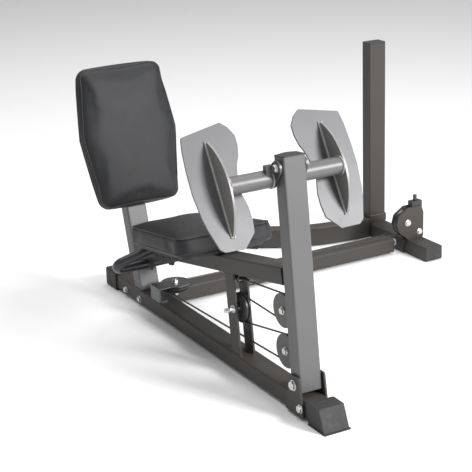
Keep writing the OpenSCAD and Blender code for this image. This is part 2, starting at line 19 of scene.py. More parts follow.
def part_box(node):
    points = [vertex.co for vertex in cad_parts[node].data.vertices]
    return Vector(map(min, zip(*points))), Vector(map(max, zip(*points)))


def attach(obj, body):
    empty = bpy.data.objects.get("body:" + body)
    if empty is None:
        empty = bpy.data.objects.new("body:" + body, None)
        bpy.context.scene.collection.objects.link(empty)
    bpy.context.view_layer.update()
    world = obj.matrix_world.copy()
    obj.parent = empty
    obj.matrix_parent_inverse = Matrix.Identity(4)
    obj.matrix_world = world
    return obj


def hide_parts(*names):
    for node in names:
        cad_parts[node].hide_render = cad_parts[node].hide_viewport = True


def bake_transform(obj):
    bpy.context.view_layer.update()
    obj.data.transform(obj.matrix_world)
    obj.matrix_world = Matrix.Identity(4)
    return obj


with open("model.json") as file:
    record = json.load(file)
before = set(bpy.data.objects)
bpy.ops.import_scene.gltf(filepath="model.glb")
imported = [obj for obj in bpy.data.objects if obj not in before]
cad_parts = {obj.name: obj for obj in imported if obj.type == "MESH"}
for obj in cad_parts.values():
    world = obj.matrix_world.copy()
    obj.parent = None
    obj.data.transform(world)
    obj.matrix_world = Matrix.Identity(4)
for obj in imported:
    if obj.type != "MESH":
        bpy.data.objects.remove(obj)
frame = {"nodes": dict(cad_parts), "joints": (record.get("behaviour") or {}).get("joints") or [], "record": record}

LOG = logging.getLogger("leg_press")
TAU = 2.0 * math.pi
Array = np.ndarray


class Body(str, Enum):
    """The moving bodies of the machine."""

    FRAME = "frame"
    ARM = "press_arm"
    FEET = "foot_plates"
    SEAT = "seat_carriage"
    PIN = "pull_pin"


# ---------------------------------------------------------------------------------------------
# Places


@dataclass(frozen=True)
class Axes:
    """A leaning frame: x across the machine, y its depth and z its length, in machine axes."""

    origin: Array
    lean: float

    @property
    def matrix(self) -> Array:
        """The three unit axes as rows."""
        s, c = math.sin(math.radians(self.lean)), math.cos(math.radians(self.lean))
        return np.array([[1.0, 0.0, 0.0], [0.0, c, -s], [0.0, s, c]])

    def place(self, points: Array) -> Array:
        """Local points (n, 3) as machine points."""
        return np.asarray(points, float) @ self.matrix + self.origin

    def turn(self, vectors: Array) -> Array:
        """Local directions as machine directions."""
        return np.asarray(vectors, float) @ self.matrix


def joint_place(name: str) -> Array:
    """The point a joint turns about."""
    return np.array([j["pos_m"] for j in frame["joints"] if j["name"] == name][0], float)


def joint_axis(name: str) -> Array:
    """The direction of a joint's axis."""
    return np.array([j["axis"] for j in frame["joints"] if j["name"] == name][0], float)


def corners(node: str) -> tuple[Array, Array]:
    """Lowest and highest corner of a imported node."""
    low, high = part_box(node)
    return np.array(low), np.array(high)


def middle(node: str) -> Array:
    """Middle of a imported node's box."""
    low, high = corners(node)
    return (low + high) / 2


@dataclass(frozen=True)
class Layout:
    """The leaning frames that the pieces are built in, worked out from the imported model."""

    arm_lean: float = 6.0
    post_lean: float = 15.7
    rail_slope: float = 10.7
    plate_lean: float = 30.0
    tube_half: float = 0.025

    def arm(self) -> Axes:
        """Origin on the arm pivot, z up the arm, +y to the user."""
        return Axes(joint_place("arm_pivot"), self.arm_lean)

    def post(self) -> Axes:
        """Origin where the back post stands on the base tube, z up the post."""
        low, _ = corners("back_post")
        lean = math.radians(self.post_lean)
        centre = joint_place("arm_pivot")[0]
        return Axes(np.array([centre, low[1] + self.tube_half / math.cos(lean), low[2]]), self.post_lean)

    def rail(self) -> Axes:
        """Origin on the rail's centre line at its front end, y along the rail."""
        low, high = corners("seat_rail")
        slope = math.radians(self.rail_slope)
        y = low[1] + self.tube_half * math.sin(slope)
        z = high[2] - self.tube_half * math.cos(slope)
        return Axes(np.array([joint_place("arm_pivot")[0], y, z]), self.rail_slope)

    def plate(self) -> Axes:
        """Origin at the middle of the weld line between rib and foot plate."""
        pivot = joint_place("foot_pivot")
        return Axes(pivot + np.array([0.0, 0.0676, -0.05215]), self.plate_lean)


LAYOUT = Layout()


# ---------------------------------------------------------------------------------------------
# Surfaces


@dataclass
class Shell:
    """Points and four-sided faces of one surface; shells add up to one mesh."""

    points: Array
    faces: Array

    def __add__(self, other: "Shell") -> "Shell":
        """Both surfaces in one shell."""
        faces = np.vstack([self.faces, other.faces + len(self.points)])
        return Shell(np.vstack([self.points, other.points]), faces)

    def moved(self, axes: Axes) -> "Shell":
        """The shell carried from a leaning frame to machine axes."""
        return Shell(axes.place(self.points), self.faces)


def joined(shells: list[Shell]) -> Shell:
    """A list of shells as one."""
    total = shells[0]
    for shell in shells[1:]:
        total = total + shell
    return total


def grid(points: Array, close_u: bool = False, close_v: bool = False) -> Shell:
    """Four-sided faces over a grid of points.

    Args:
        points: (rows, columns, 3) grid.
        close_u: joins the last row to the first.
        close_v: joins the last column to the first.

    Returns:
        The shell, with face (i, j) on points (i, j), (i, j+1), (i+1, j+1), (i+1, j).
    """
    rows, cols = points.shape[:2]
    i = np.arange(rows if close_u else rows - 1)
    j = np.arange(cols if close_v else cols - 1)
    a, b = np.meshgrid(i, j, indexing="ij")
    a2, b2 = (a + 1) % rows, (b + 1) % cols
    faces = np.stack([a * cols + b, a * cols + b2, a2 * cols + b2, a2 * cols + b], -1).reshape(-1, 4)
    return Shell(points.reshape(-1, 3), faces)


def tube(path: Array, radius: Array | float, sides: int = 16, closed: bool = False,
         reference: tuple[float, float, float] = (0.0, 0.0, 1.0), capped: bool = True) -> Shell:
    """A round section carried along a path.

    The section's side direction is reference x tangent, so the path never runs along reference.

    Args:
        path: (n, 3) centre line.
        radius: one radius or one for each point.
        sides: points round the section.
        closed: joins the end to the start.
        reference: direction that the path never follows.
        capped: draws the two ends together to a point.

    Returns:
        The tube's shell.
    """
    path = np.asarray(path, float)
    radius = np.broadcast_to(np.asarray(radius, float), (len(path),)).copy()
    if closed:
        tangent = np.roll(path, -1, 0) - np.roll(path, 1, 0)
    else:
        tangent = np.gradient(path, axis=0)
    if capped and not closed:
        path = np.vstack([path[:1], path, path[-1:]])
        tangent = np.vstack([tangent[:1], tangent, tangent[-1:]])
        radius = np.concatenate([[radius[0] * 0.02], radius, [radius[-1] * 0.02]])
    tangent = tangent / np.linalg.norm(tangent, axis=1, keepdims=True)
    side = np.cross(np.array(reference), tangent)
    side = side / np.linalg.norm(side, axis=1, keepdims=True)
    up = np.cross(tangent, side)
    angle = np.arange(sides) / sides * TAU
    ring = side[:, None] * np.cos(angle)[None, :, None] + up[:, None] * np.sin(angle)[None, :, None]
    return grid(path[:, None] + ring * radius[:, None, None], close_u=closed, close_v=True)


def lathe(profile: Array, centre: Array, axis: Array, sides: int = 48) -> Shell:
    """A profile turned round an axis: point = centre + along * axis + radius * (cos, sin).

    Args:
        profile: (n, 2) pairs of radius and place along the axis.
        centre: point on the axis.
        axis: the axis' direction.
        sides: points round the axis.

    Returns:
        The turned shell.
    """
    axis = np.asarray(axis, float) / np.linalg.norm(axis)
    helper = np.array([0.0, 0.0, 1.0]) if abs(axis[2]) < 0.9 else np.array([1.0, 0.0, 0.0])
    side = np.cross(helper, axis)
    side /= np.linalg.norm(side)
    up = np.cross(axis, side)
    angle = np.arange(sides) / sides * TAU
    ring = side * np.cos(angle)[:, None] + up * np.sin(angle)[:, None]
    profile = np.asarray(profile, float)
    points = np.asarray(centre) + profile[:, None, :1] * ring[None] + profile[:, None, 1:] * axis
    return grid(points, close_v=True)


def hexagon(centre: Array, axis: Array, across: float, height: float) -> Shell:
    """A bolt head or nut with chamfered corners.

    The radius is the smaller of the hexagon's, across / 2 / cos(angle to the flat's middle),
    and of a 30 degree cone that takes the corners off at the outer end.

    Args:
        centre: middle of the seat face.
        axis: direction from the seat to the outer end.
        across: width across the flats.
        height: seat to outer end.

    Returns:
        The head's shell.
    """
    along = np.array([0.0, 0.0, 0.55, 0.72, 0.82, 0.90, 0.96, 1.0, 1.0, 0.97]) * height
    share = np.array([0.02, 1.0, 1.0, 1.0, 1.0, 1.0, 1.0, 1.0, 0.82, 0.02])
    angle = np.arange(48) / 48 * TAU
    flat = across / 2 / np.cos((angle + TAU / 12) % (TAU / 6) - TAU / 12)
    cone = across / 2 * 0.96 + (height - along) * 1.7
    radius = np.minimum(flat[None], cone[:, None]) * share[:, None]
    axis = np.asarray(axis, float) / np.linalg.norm(axis)
    helper = np.array([0.0, 0.0, 1.0]) if abs(axis[2]) < 0.9 else np.array([1.0, 0.0, 0.0])
    side = np.cross(helper, axis)
    side /= np.linalg.norm(side)
    up = np.cross(axis, side)
    ring = side * np.cos(angle)[:, None] + up * np.sin(angle)[:, None]
    points = np.asarray(centre) + radius[..., None] * ring[None] + along[:, None, None] * axis
    return grid(points, close_v=True)


def shank(start: Array, end: Array, radius: float, threaded: float = 0.0, pitch: float = 0.0018) -> Shell:
    """A round bolt body whose last part carries thread ridges.

    Args:
        start: one end of the axis.
        end: the other end.
        radius: outer radius.
        threaded: length of the ridged stretch at the far end.
        pitch: ridge to ridge.

    Returns:
        The body's shell, closed by chamfered ends.
    """
    start, end = np.asarray(start, float), np.asarray(end, float)
    length = float(np.linalg.norm(end - start))
    turns = max(int(threaded / pitch), 0)
    ridge = np.arange(turns * 2 + 1) * pitch / 2 + length - 0.0008 - turns * pitch
    depth = np.where(np.arange(len(ridge)) % 2 == 0, radius, radius - 0.0009)
    places = np.concatenate([[0.0, 0.0], ridge, [length, length]])
    radii = np.concatenate([[radius * 0.02, radius], depth, [radius * 0.86, radius * 0.02]])
    return lathe(np.stack([radii, places], 1), start, end - start, 28)


def washer(centre: Array, axis: Array, inner: float, outer: float, thick: float = 0.0016) -> Shell:
    """A flat ring with eased edges, its seat at centre."""
    e = 0.0003
    profile = [[inner, 0.0], [outer, 0.0], [outer, thick - e], [outer - e, thick], [inner, thick],
               [inner, 0.0]]
    return lathe(np.array(profile), centre, axis, 40)


def rounded_outline(points: list[tuple[float, float]], radius: float, step: float) -> tuple[Array, Array]:
    """A closed outline with circular corners, at even steps.

    At each corner the arc's centre lies on the bisector and touches both sides.

    Args:
        points: the corners, counter-clockwise or clockwise.
        radius: corner radius.
        step: distance between the points returned.

    Returns:
        The outline points (n, 2) and their outward normals (n, 2).
    """
    ring = np.asarray(points, float)
    pieces = []
    for here, before, after in zip(ring, np.roll(ring, 1, 0), np.roll(ring, -1, 0)):
        a = (before - here) / np.linalg.norm(before - here)
        b = (after - here) / np.linalg.norm(after - here)
        half = math.acos(float(np.clip(a @ b, -1, 1))) / 2
        bisector = (a + b) / np.linalg.norm(a + b)
        centre = here + bisector * radius / math.sin(half)
        first, last = here + a * radius / math.tan(half), here + b * radius / math.tan(half)
        t = np.linspace(0.0, 1.0, 24)[:, None]
        chord = (first - centre) * (1 - t) + (last - centre) * t
        pieces.append(centre + radius * chord / np.linalg.norm(chord, axis=1, keepdims=True))
    line = np.vstack(pieces)
    closed = np.vstack([line, line[:1]])
    run = np.concatenate([[0.0], np.cumsum(np.linalg.norm(np.diff(closed, axis=0), axis=1))])
    even = np.linspace(0.0, run[-1], int(run[-1] / step), endpoint=False)
    outline = np.stack([np.interp(even, run, closed[:, k]) for k in (0, 1)], 1)
    tangent = np.roll(outline, -1, 0) - np.roll(outline, 1, 0)
    normal = np.stack([tangent[:, 1], -tangent[:, 0]], 1)
    normal /= np.linalg.norm(normal, axis=1, keepdims=True)
    outward = np.sign(np.sum(normal * (outline - outline.mean(0))))
    return outline, normal * outward


def smooth_ring(values: Array, width: int) -> Array:
    """A closed row of values averaged over a window of neighbours."""
    kernel = np.ones(width) / width
    padded = np.concatenate([values[-width:], values, values[:width]])
    return np.convolve(padded, kernel, "same")[width:-width]


def mesh_object(name: str, shell: Shell, smooth: bool = True, angle: float = 40.0) -> bpy.types.Object:
    """Puts a shell into a new object at the origin, its faces pointing outwards.

    Args:
        name: the object's name.
        shell: points and faces.
        smooth: smooth shading with sharp edges kept sharp.
        angle: edges steeper than this stay sharp.

    Returns:
        The linked object.
    """
    data = bpy.data.meshes.new(name)
    data.vertices.add(len(shell.points))
    data.vertices.foreach_set("co", shell.points.astype(np.float32).ravel())
    data.loops.add(shell.faces.size)
    data.loops.foreach_set("vertex_index", shell.faces.astype(np.int32).ravel())
    data.polygons.add(len(shell.faces))
    data.polygons.foreach_set("loop_start", np.arange(0, shell.faces.size, 4, dtype=np.int32))
    data.update(calc_edges=True)
    data.validate()
    work = bmesh.new()
    work.from_mesh(data)
    bmesh.ops.remove_doubles(work, verts=work.verts, dist=1e-6)
    bmesh.ops.recalc_face_normals(work, faces=work.faces)
    work.to_mesh(data)
    work.free()
    if smooth:
        data.polygons.foreach_set("use_smooth", np.ones(len(data.polygons), bool))
        data.set_sharp_from_angle(angle=math.radians(angle))
    obj = bpy.data.objects.new(name, data)
    bpy.context.scene.collection.objects.link(obj)
    return obj


def vertices_of(data: bpy.types.Mesh) -> Array:
    """A mesh's vertices as an (n, 3) array."""
    flat = np.empty(len(data.vertices) * 3, np.float32)
    data.vertices.foreach_get("co", flat)
    return flat.reshape(-1, 3).astype(float)


# ---------------------------------------------------------------------------------------------
# Material graphs


class Value:
    """A number running along a link; sums on it add Math nodes."""

    def __init__(self, graph: "Graph", socket: bpy.types.NodeSocket) -> None:
        """Wraps an output socket of a graph."""
        self.graph = graph
        self.socket = socket

    def _math(self, operation: str, other: "Value | float", swap: bool = False) -> "Value":
        """A Math node on this value and another."""
        pair = (other, self) if swap else (self, other)
        return self.graph.value("ShaderNodeMath", {"operation": operation}, {0: pair[0], 1: pair[1]})

    def __add__(self, other: "Value | float") -> "Value":
        """Sum."""
        return self._math("ADD", other)

    def __radd__(self, other: float) -> "Value":
        """Sum with a number on the left."""
        return self._math("ADD", other)

    def __sub__(self, other: "Value | float") -> "Value":
        """Difference."""
        return self._math("SUBTRACT", other)

    def __rsub__(self, other: float) -> "Value":
        """Difference with a number on the left."""
        return self._math("SUBTRACT", other, swap=True)

    def __mul__(self, other: "Value | float") -> "Value":
        """Product."""
        return self._math("MULTIPLY", other)

    def __rmul__(self, other: float) -> "Value":
        """Product with a number on the left."""
        return self._math("MULTIPLY", other)

    def to(self, low: float, high: float) -> "Value":
        """This value, from 0 to 1, carried to the span from low to high."""
        return self * (high - low) + low


class Graph:
    """A material being built, with one Principled shader."""

    def __init__(self, name: str) -> None:
        """Starts an empty graph with a shader and an output."""
        self.material = bpy.data.materials.new(name)
        self.material.use_nodes = True
        self.tree = self.material.node_tree
        self.tree.nodes.clear()
        self.shader = self.node("ShaderNodeBsdfPrincipled", {}, {})
        self.node("ShaderNodeOutputMaterial", {}, {"Surface": self.shader.outputs[0]})
        self.object_point = self.node("ShaderNodeTexCoord", {}, {}).outputs["Object"]

    def node(self, kind: str, settings: dict, inputs: dict) -> bpy.types.Node:
        """Adds a node.

        Args:
            kind: the node's type.
            settings: its own settings, set first; "stops" are a ramp's (place, grey or colour) pairs.
            inputs: values or links for its input sockets, by name or number.

        Returns:
            The node.
        """
        made = self.tree.nodes.new(kind)
        for key, value in settings.items():
            if key == "stops":
                self._stops(made.color_ramp, value)
            else:
                setattr(made, key, value)
        for key, value in inputs.items():
            socket = made.inputs[key]
            link = value.socket if isinstance(value, Value) else value
            if isinstance(link, bpy.types.NodeSocket):
                self.tree.links.new(link, socket)
            else:
                socket.default_value = link
        return made

    @staticmethod
    def _stops(ramp: bpy.types.ColorRamp, stops: list) -> None:
        """Sets a ramp's stops."""
        while len(ramp.elements) < len(stops):
            ramp.elements.new(0.5)
        for element, (place, shade) in zip(ramp.elements, stops):
            element.position = place
            element.color = (shade, shade, shade, 1.0) if isinstance(shade, float) else (*shade, 1.0)

    def value(self, kind: str, settings: dict, inputs: dict, output: int | str = 0) -> Value:
        """Adds a node and wraps one of its outputs."""
        return Value(self, self.node(kind, settings, inputs).outputs[output])

    def noise(self, scale: float, detail: float = 3.0, rough: float = 0.55,
              stretch: tuple[float, float, float] | None = None) -> Value:
        """Cloudy noise on object coordinates, from 0 to 1."""
        point = self.object_point
        if stretch is not None:
            mapped = self.node("ShaderNodeMapping", {}, {"Vector": point, "Scale": stretch})
            point = mapped.outputs[0]
        return self.value("ShaderNodeTexNoise", {}, {
            "Vector": point, "Scale": scale, "Detail": detail, "Roughness": rough})

    def cells(self, scale: float, feature: str = "F1") -> Value:
        """Distance to the nearest cell point or cell edge, on object coordinates."""
        return self.value("ShaderNodeTexVoronoi", {"feature": feature}, {
            "Vector": self.object_point, "Scale": scale}, "Distance")

    def ramp(self, source: Value, stops: list) -> bpy.types.NodeSocket:
        """A colour ramp's colour output."""
        return self.node("ShaderNodeValToRGB", {"stops": stops}, {0: source}).outputs["Color"]

    def tone(self, source: Value, low: float, high: float) -> Value:
        """Source stretched so that low becomes 0 and high becomes 1, held between them."""
        return self.value("ShaderNodeMapRange", {}, {
            "Value": source, "From Min": low, "From Max": high, "To Min": 0.0, "To Max": 1.0})

    def mix(self, share: Value | float, first: object, second: object) -> bpy.types.NodeSocket:
        """First colour where share is 0 and second where it is 1."""
        made = self.node("ShaderNodeMix", {"data_type": "RGBA"}, {})
        sockets = {s.identifier: s for s in made.inputs}
        for key, item in (("Factor_Float", share), ("A_Color", first), ("B_Color", second)):
            link = item.socket if isinstance(item, Value) else item
            if isinstance(link, bpy.types.NodeSocket):
                self.tree.links.new(link, sockets[key])
            else:
                sockets[key].default_value = link if key == "Factor_Float" else (*link[:3], 1.0)
        return [s for s in made.outputs if s.identifier == "Result_Color"][0]

    def bump(self, height: Value, strength: float, distance: float,
             under: object = None) -> bpy.types.NodeSocket:
        """A Bump node on a height, laid over another bump if given."""
        inputs = {"Height": height, "Strength": strength, "Distance": distance}
        if under is not None:
            inputs["Normal"] = under
        return self.node("ShaderNodeBump", {}, inputs).outputs[0]

    def finish(self, color: object, roughness: object, normal: object = None,
               **constants: float) -> bpy.types.Material:
        """Feeds the shader and returns the material.

        Args:
            color: colour, or the link that carries it.
            roughness: number, or the value that carries it.
            normal: bump output, or nothing.
            constants: numbers for the shader's other sockets, underscores for spaces.

        Returns:
            The finished material.
        """
        fed = {"Base Color": color, "Roughness": roughness}
        if normal is not None:
            fed["Normal"] = normal
        for key, item in fed.items():
            link = item.socket if isinstance(item, Value) else item
            if isinstance(link, bpy.types.NodeSocket):
                self.tree.links.new(link, self.shader.inputs[key])
            else:
                self.shader.inputs[key].default_value = (*link, 1.0) if key == "Base Color" else link
        for key, number in constants.items():
            self.shader.inputs[key.replace("_", " ")].default_value = number
        return self.material


# ---------------------------------------------------------------------------------------------
# Finishes


Colour = tuple[float, float, float]


def shaded(color: Colour, share: float) -> Colour:
    """A colour made darker or lighter by a share."""
    return tuple(min(c * share, 1.0) for c in color)


@dataclass(frozen=True)
class PowderCoat:
    """Satin metallic powder coat: orange peel, fine flake and faint handling marks."""

    name: str
    color: Colour
    roughness: float = 0.36
    metallic: float = 0.55
    coat: float = 0.25
    specular: float = 0.5

    def build(self) -> bpy.types.Material:
        """The material."""
        g = Graph(self.name)
        cloud = g.noise(5.0, 4.0)
        flake = g.tone(g.cells(1500.0), 0.0, 0.75)
        base = g.mix(cloud, shaded(self.color, 0.90), shaded(self.color, 1.08))
        color = g.mix(flake * 0.35, base, shaded(self.color, 1.45))
        scuff = g.tone(g.noise(38.0, 6.0, 0.7), 0.60, 0.74)
        roughness = g.noise(9.0).to(self.roughness - 0.05, self.roughness + 0.05) + scuff * 0.10
        peel = g.bump(g.noise(420.0, 2.0), 0.16, 0.0004)
        grain = g.bump(g.cells(1500.0), 0.05, 0.0002, peel)
        return g.finish(color, roughness, grain, Metallic=self.metallic, Coat_Weight=self.coat,
                        Coat_Roughness=0.22, Specular_IOR_Level=self.specular)


@dataclass(frozen=True)
class PlatedSteel:
    """Zinc or chrome plating with turning marks and a few dull spots."""

    name: str
    color: Colour = (0.62, 0.62, 0.63)
    roughness: float = 0.24

    def build(self) -> bpy.types.Material:
        """The material."""
        g = Graph(self.name)
        spots = g.tone(g.noise(160.0, 5.0, 0.65), 0.52, 0.72)
        color = g.mix(spots * 0.55, self.color, shaded(self.color, 0.62))
        streak = g.noise(900.0, 2.0, 0.5, (1.0, 0.12, 1.0))
        roughness = streak.to(self.roughness - 0.06, self.roughness + 0.10) + spots * 0.14
        return g.finish(color, roughness, g.bump(streak, 0.10, 0.0002), Metallic=1.0)


@dataclass(frozen=True)
class Rubber:
    """Moulded rubber or plastic with a fine spark-eroded grain and light dust."""

    name: str
    color: Colour
    roughness: float = 0.62
    grain: float = 0.30
    grain_scale: float = 700.0
    specular: float = 0.45

    def build(self) -> bpy.types.Material:
        """The material."""
        g = Graph(self.name)
        cloud = g.noise(11.0, 5.0, 0.6)
        dust = g.tone(g.noise(60.0, 6.0, 0.7), 0.50, 0.80)
        base = g.mix(cloud, shaded(self.color, 0.82), shaded(self.color, 1.25))
        color = g.mix(dust * 0.18, base, (0.20, 0.20, 0.19))
        roughness = g.noise(25.0).to(self.roughness - 0.07, self.roughness + 0.07)
        normal = g.bump(g.cells(self.grain_scale), self.grain, 0.0003)
        return g.finish(color, roughness, normal, Specular_IOR_Level=self.specular)


@dataclass(frozen=True)
class Vinyl:
    """Upholstery vinyl: pebbled leather grain with painted shade in its valleys, fine creases and a satin sheen.
    """

    name: str
    color: Colour = (0.013, 0.0135, 0.0155)
    roughness: float = 0.46

    def build(self) -> bpy.types.Material:
        """The material."""
        g = Graph(self.name)
        pebble = g.cells(520.0, "DISTANCE_TO_EDGE")
        pores = g.cells(1300.0)
        crease = g.tone(g.noise(70.0, 7.0, 0.72), 0.46, 0.62)
        cloud = g.noise(7.0, 3.0)
        base = g.mix(cloud, shaded(self.color, 0.80), shaded(self.color, 1.30))
        # painted shade: the grain's valleys at the cell edges are darkened to 0.45 of the colour; the same mask
        # also makes them rougher
        valley = g.tone(pebble, 0.0, 0.10)
        color = g.mix(valley, shaded(self.color, 0.45), base)
        rough = g.noise(18.0, 4.0).to(self.roughness - 0.05, self.roughness + 0.07)
        roughness = rough + (1.0 - valley) * 0.15
        broad = g.bump(crease, 0.10, 0.0012)
        grain = g.bump(g.tone(pebble, 0.0, 0.22), 0.42, 0.0005, broad)
        fine = g.bump(pores, 0.14, 0.0002, grain)
        return g.finish(color, roughness, fine, Specular_IOR_Level=0.42)


@dataclass(frozen=True)
class PaintedBoard:
    """Plywood under thin black paint: the grain shows as long shallow ridges."""

    name: str
    color: Colour = (0.030, 0.028, 0.027)

    def build(self) -> bpy.types.Material:
        """The material."""
        g = Graph(self.name)
        grain = g.noise(60.0, 6.0, 0.65, (1.0, 0.10, 0.10))
        worn = g.tone(g.noise(28.0, 7.0, 0.75), 0.66, 0.74)
        base = g.mix(grain, shaded(self.color, 0.7), shaded(self.color, 1.5))
        color = g.mix(worn * 0.5, base, (0.16, 0.12, 0.08))
        return g.finish(color, grain.to(0.48, 0.70), g.bump(grain, 0.35, 0.0006))


@dataclass(frozen=True)
class CableSkin:
    """Nylon skin over twisted wire: the strands show through as fine bumps."""

    name: str
    color: Colour = (0.016, 0.016, 0.017)

    def build(self) -> bpy.types.Material:
        """The material."""
        g = Graph(self.name)
        lay = g.noise(240.0, 3.0, 0.5)
        grime = g.tone(g.noise(75.0, 6.0, 0.7), 0.52, 0.76)
        color = g.mix(grime * 0.4, self.color, shaded(self.color, 4.0))
        roughness = lay.to(0.24, 0.36) + grime * 0.2
        strands = g.bump(g.cells(650.0), 0.22, 0.0004)
        return g.finish(color, roughness, strands, Coat_Weight=0.3, Coat_Roughness=0.2)


@dataclass(frozen=True)
class WeldMetal:
    """Painted weld bead: lumpy, a little brighter than the paint around it, with painted shade in the hollows of
    its lumps and painted highlight on their crests.
    """

    name: str
    color: Colour
    roughness: float = 0.34

    def build(self) -> bpy.types.Material:
        """The material."""
        g = Graph(self.name)
        lumps = g.noise(260.0, 4.0, 0.6)
        # painted shade and highlight: the colour follows the bump's noise, darker in the lumps' hollows and
        # lighter on their crests
        color = g.mix(lumps, shaded(self.color, 0.65), shaded(self.color, 1.35))
        return g.finish(color, lumps.to(self.roughness - 0.08, self.roughness + 0.12),
                        g.bump(lumps, 0.45, 0.0008), Metallic=0.5)


class Palette:
    """Every finish of the machine, one material for each record slot."""

    def __init__(self) -> None:
        """Builds the materials."""
        dark: Colour = (0.050, 0.045, 0.041)
        silver: Colour = (0.108, 0.106, 0.108)
        plate: Colour = (0.088, 0.088, 0.092)
        self.slots: dict[str, bpy.types.Material] = {
            "frame_paint": PowderCoat("frame_bronze_grey", dark, 0.52, 0.20, 0.02, 0.30).build(),
            "silver_paint": PowderCoat("silver_grey", silver, 0.46, 0.35, 0.04, 0.40).build(),
            "plate_paint": PowderCoat("plate_silver", plate, 0.46, 0.35, 0.03, 0.40).build(),
            "link_paint": PowderCoat("link_grey", (0.070, 0.067, 0.063), 0.38, 0.40, 0.08).build(),
            "bracket_steel": PlatedSteel("bracket_zinc", (0.17, 0.17, 0.175), 0.42).build(),
            "bolt_chrome": PlatedSteel("bolt_zinc").build(),
            "rubber_black": Rubber("foot_rubber", (0.020, 0.020, 0.021)).build(),
            "cap_black": Rubber("cap_plastic", (0.022, 0.022, 0.023), 0.48, 0.20, 900.0).build(),
            "pulley_black": Rubber("pulley_nylon", (0.020, 0.020, 0.021), 0.40, 0.12, 1100.0, 0.55).build(),
            "pin_black": Rubber("pin_plastic", (0.20, 0.20, 0.205), 0.36, 0.12, 1100.0, 0.5).build(),
            "board_wood": PaintedBoard("painted_board").build(),
            "pad_vinyl": Vinyl("pad_vinyl").build(),
            "cable_black": CableSkin("cable_nylon").build(),
        }
        self.handle = PowderCoat("handle_black", (0.028, 0.029, 0.032), 0.30, 0.25, 0.25).build()
        # painted light: the ribs get the plate paint made about twice as light, standing in for fill light on
        # their shaded side faces
        self.rib = PowderCoat("rib_silver_painted_fill", (0.20, 0.195, 0.19), 0.46, 0.35, 0.03, 0.40).build()
        self.welt = Vinyl("welt_vinyl", (0.022, 0.022, 0.024), 0.36).build()
        self.thread = Rubber("seam_thread", (0.030, 0.030, 0.032), 0.55, 0.35, 1800.0).build()
        self.weld_dark = WeldMetal("weld_dark", (0.075, 0.070, 0.066)).build()
        # painted highlight: this light weld colour stands in for the glint on the beads; it dresses the rib welds
        # and the cross tube welds
        self.weld_painted_glint = WeldMetal("weld_painted_glint", (0.36, 0.36, 0.35), 0.30).build()
        self.shield = PlatedSteel("bearing_shield", (0.45, 0.45, 0.46), 0.30).build()

    def dress(self, obj: bpy.types.Object, material: bpy.types.Material) -> None:
        """Gives an object one material."""
        obj.data.materials.clear()
        obj.data.materials.append(material)

    def dress_frame(self) -> None:
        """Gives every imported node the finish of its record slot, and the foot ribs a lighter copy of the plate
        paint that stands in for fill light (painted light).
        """
        for entry in frame["record"]["subparts"]:
            node = frame["nodes"][entry["node"]]
            for place in node.material_slots:
                place.material = self.slots[entry["material_slot"]]
        # painted light: the ribs' lighter paint stands in for fill light on their shaded sides
        for name in ("foot_rib_right", "foot_rib_left"):
            for place in frame["nodes"][name].material_slots:
                place.material = self.rib


@dataclass
class Shop:
    """What every sub-assembly needs to put a piece on the machine."""

    palette: Palette
    pieces: list[str] = field(default_factory=list)

    def add(self, obj: bpy.types.Object, body: Body | str, slot: str,
            material: bpy.types.Material | None = None, replaces: tuple[str, ...] = ()) -> bpy.types.Object:
        """Dresses a piece with its slot's finish or the given material, hangs it on its body and hides the
        imported parts it replaces.
        """
        self.palette.dress(obj, material or self.palette.slots[slot])
        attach(obj, body.value if isinstance(body, Body) else body)
        if replaces:
            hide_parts(*replaces)
        self.pieces.append(obj.name)
        LOG.info("piece %s on %s, %d faces", obj.name, body, len(obj.data.polygons))
        return obj


# ---------------------------------------------------------------------------------------------
# Cushions


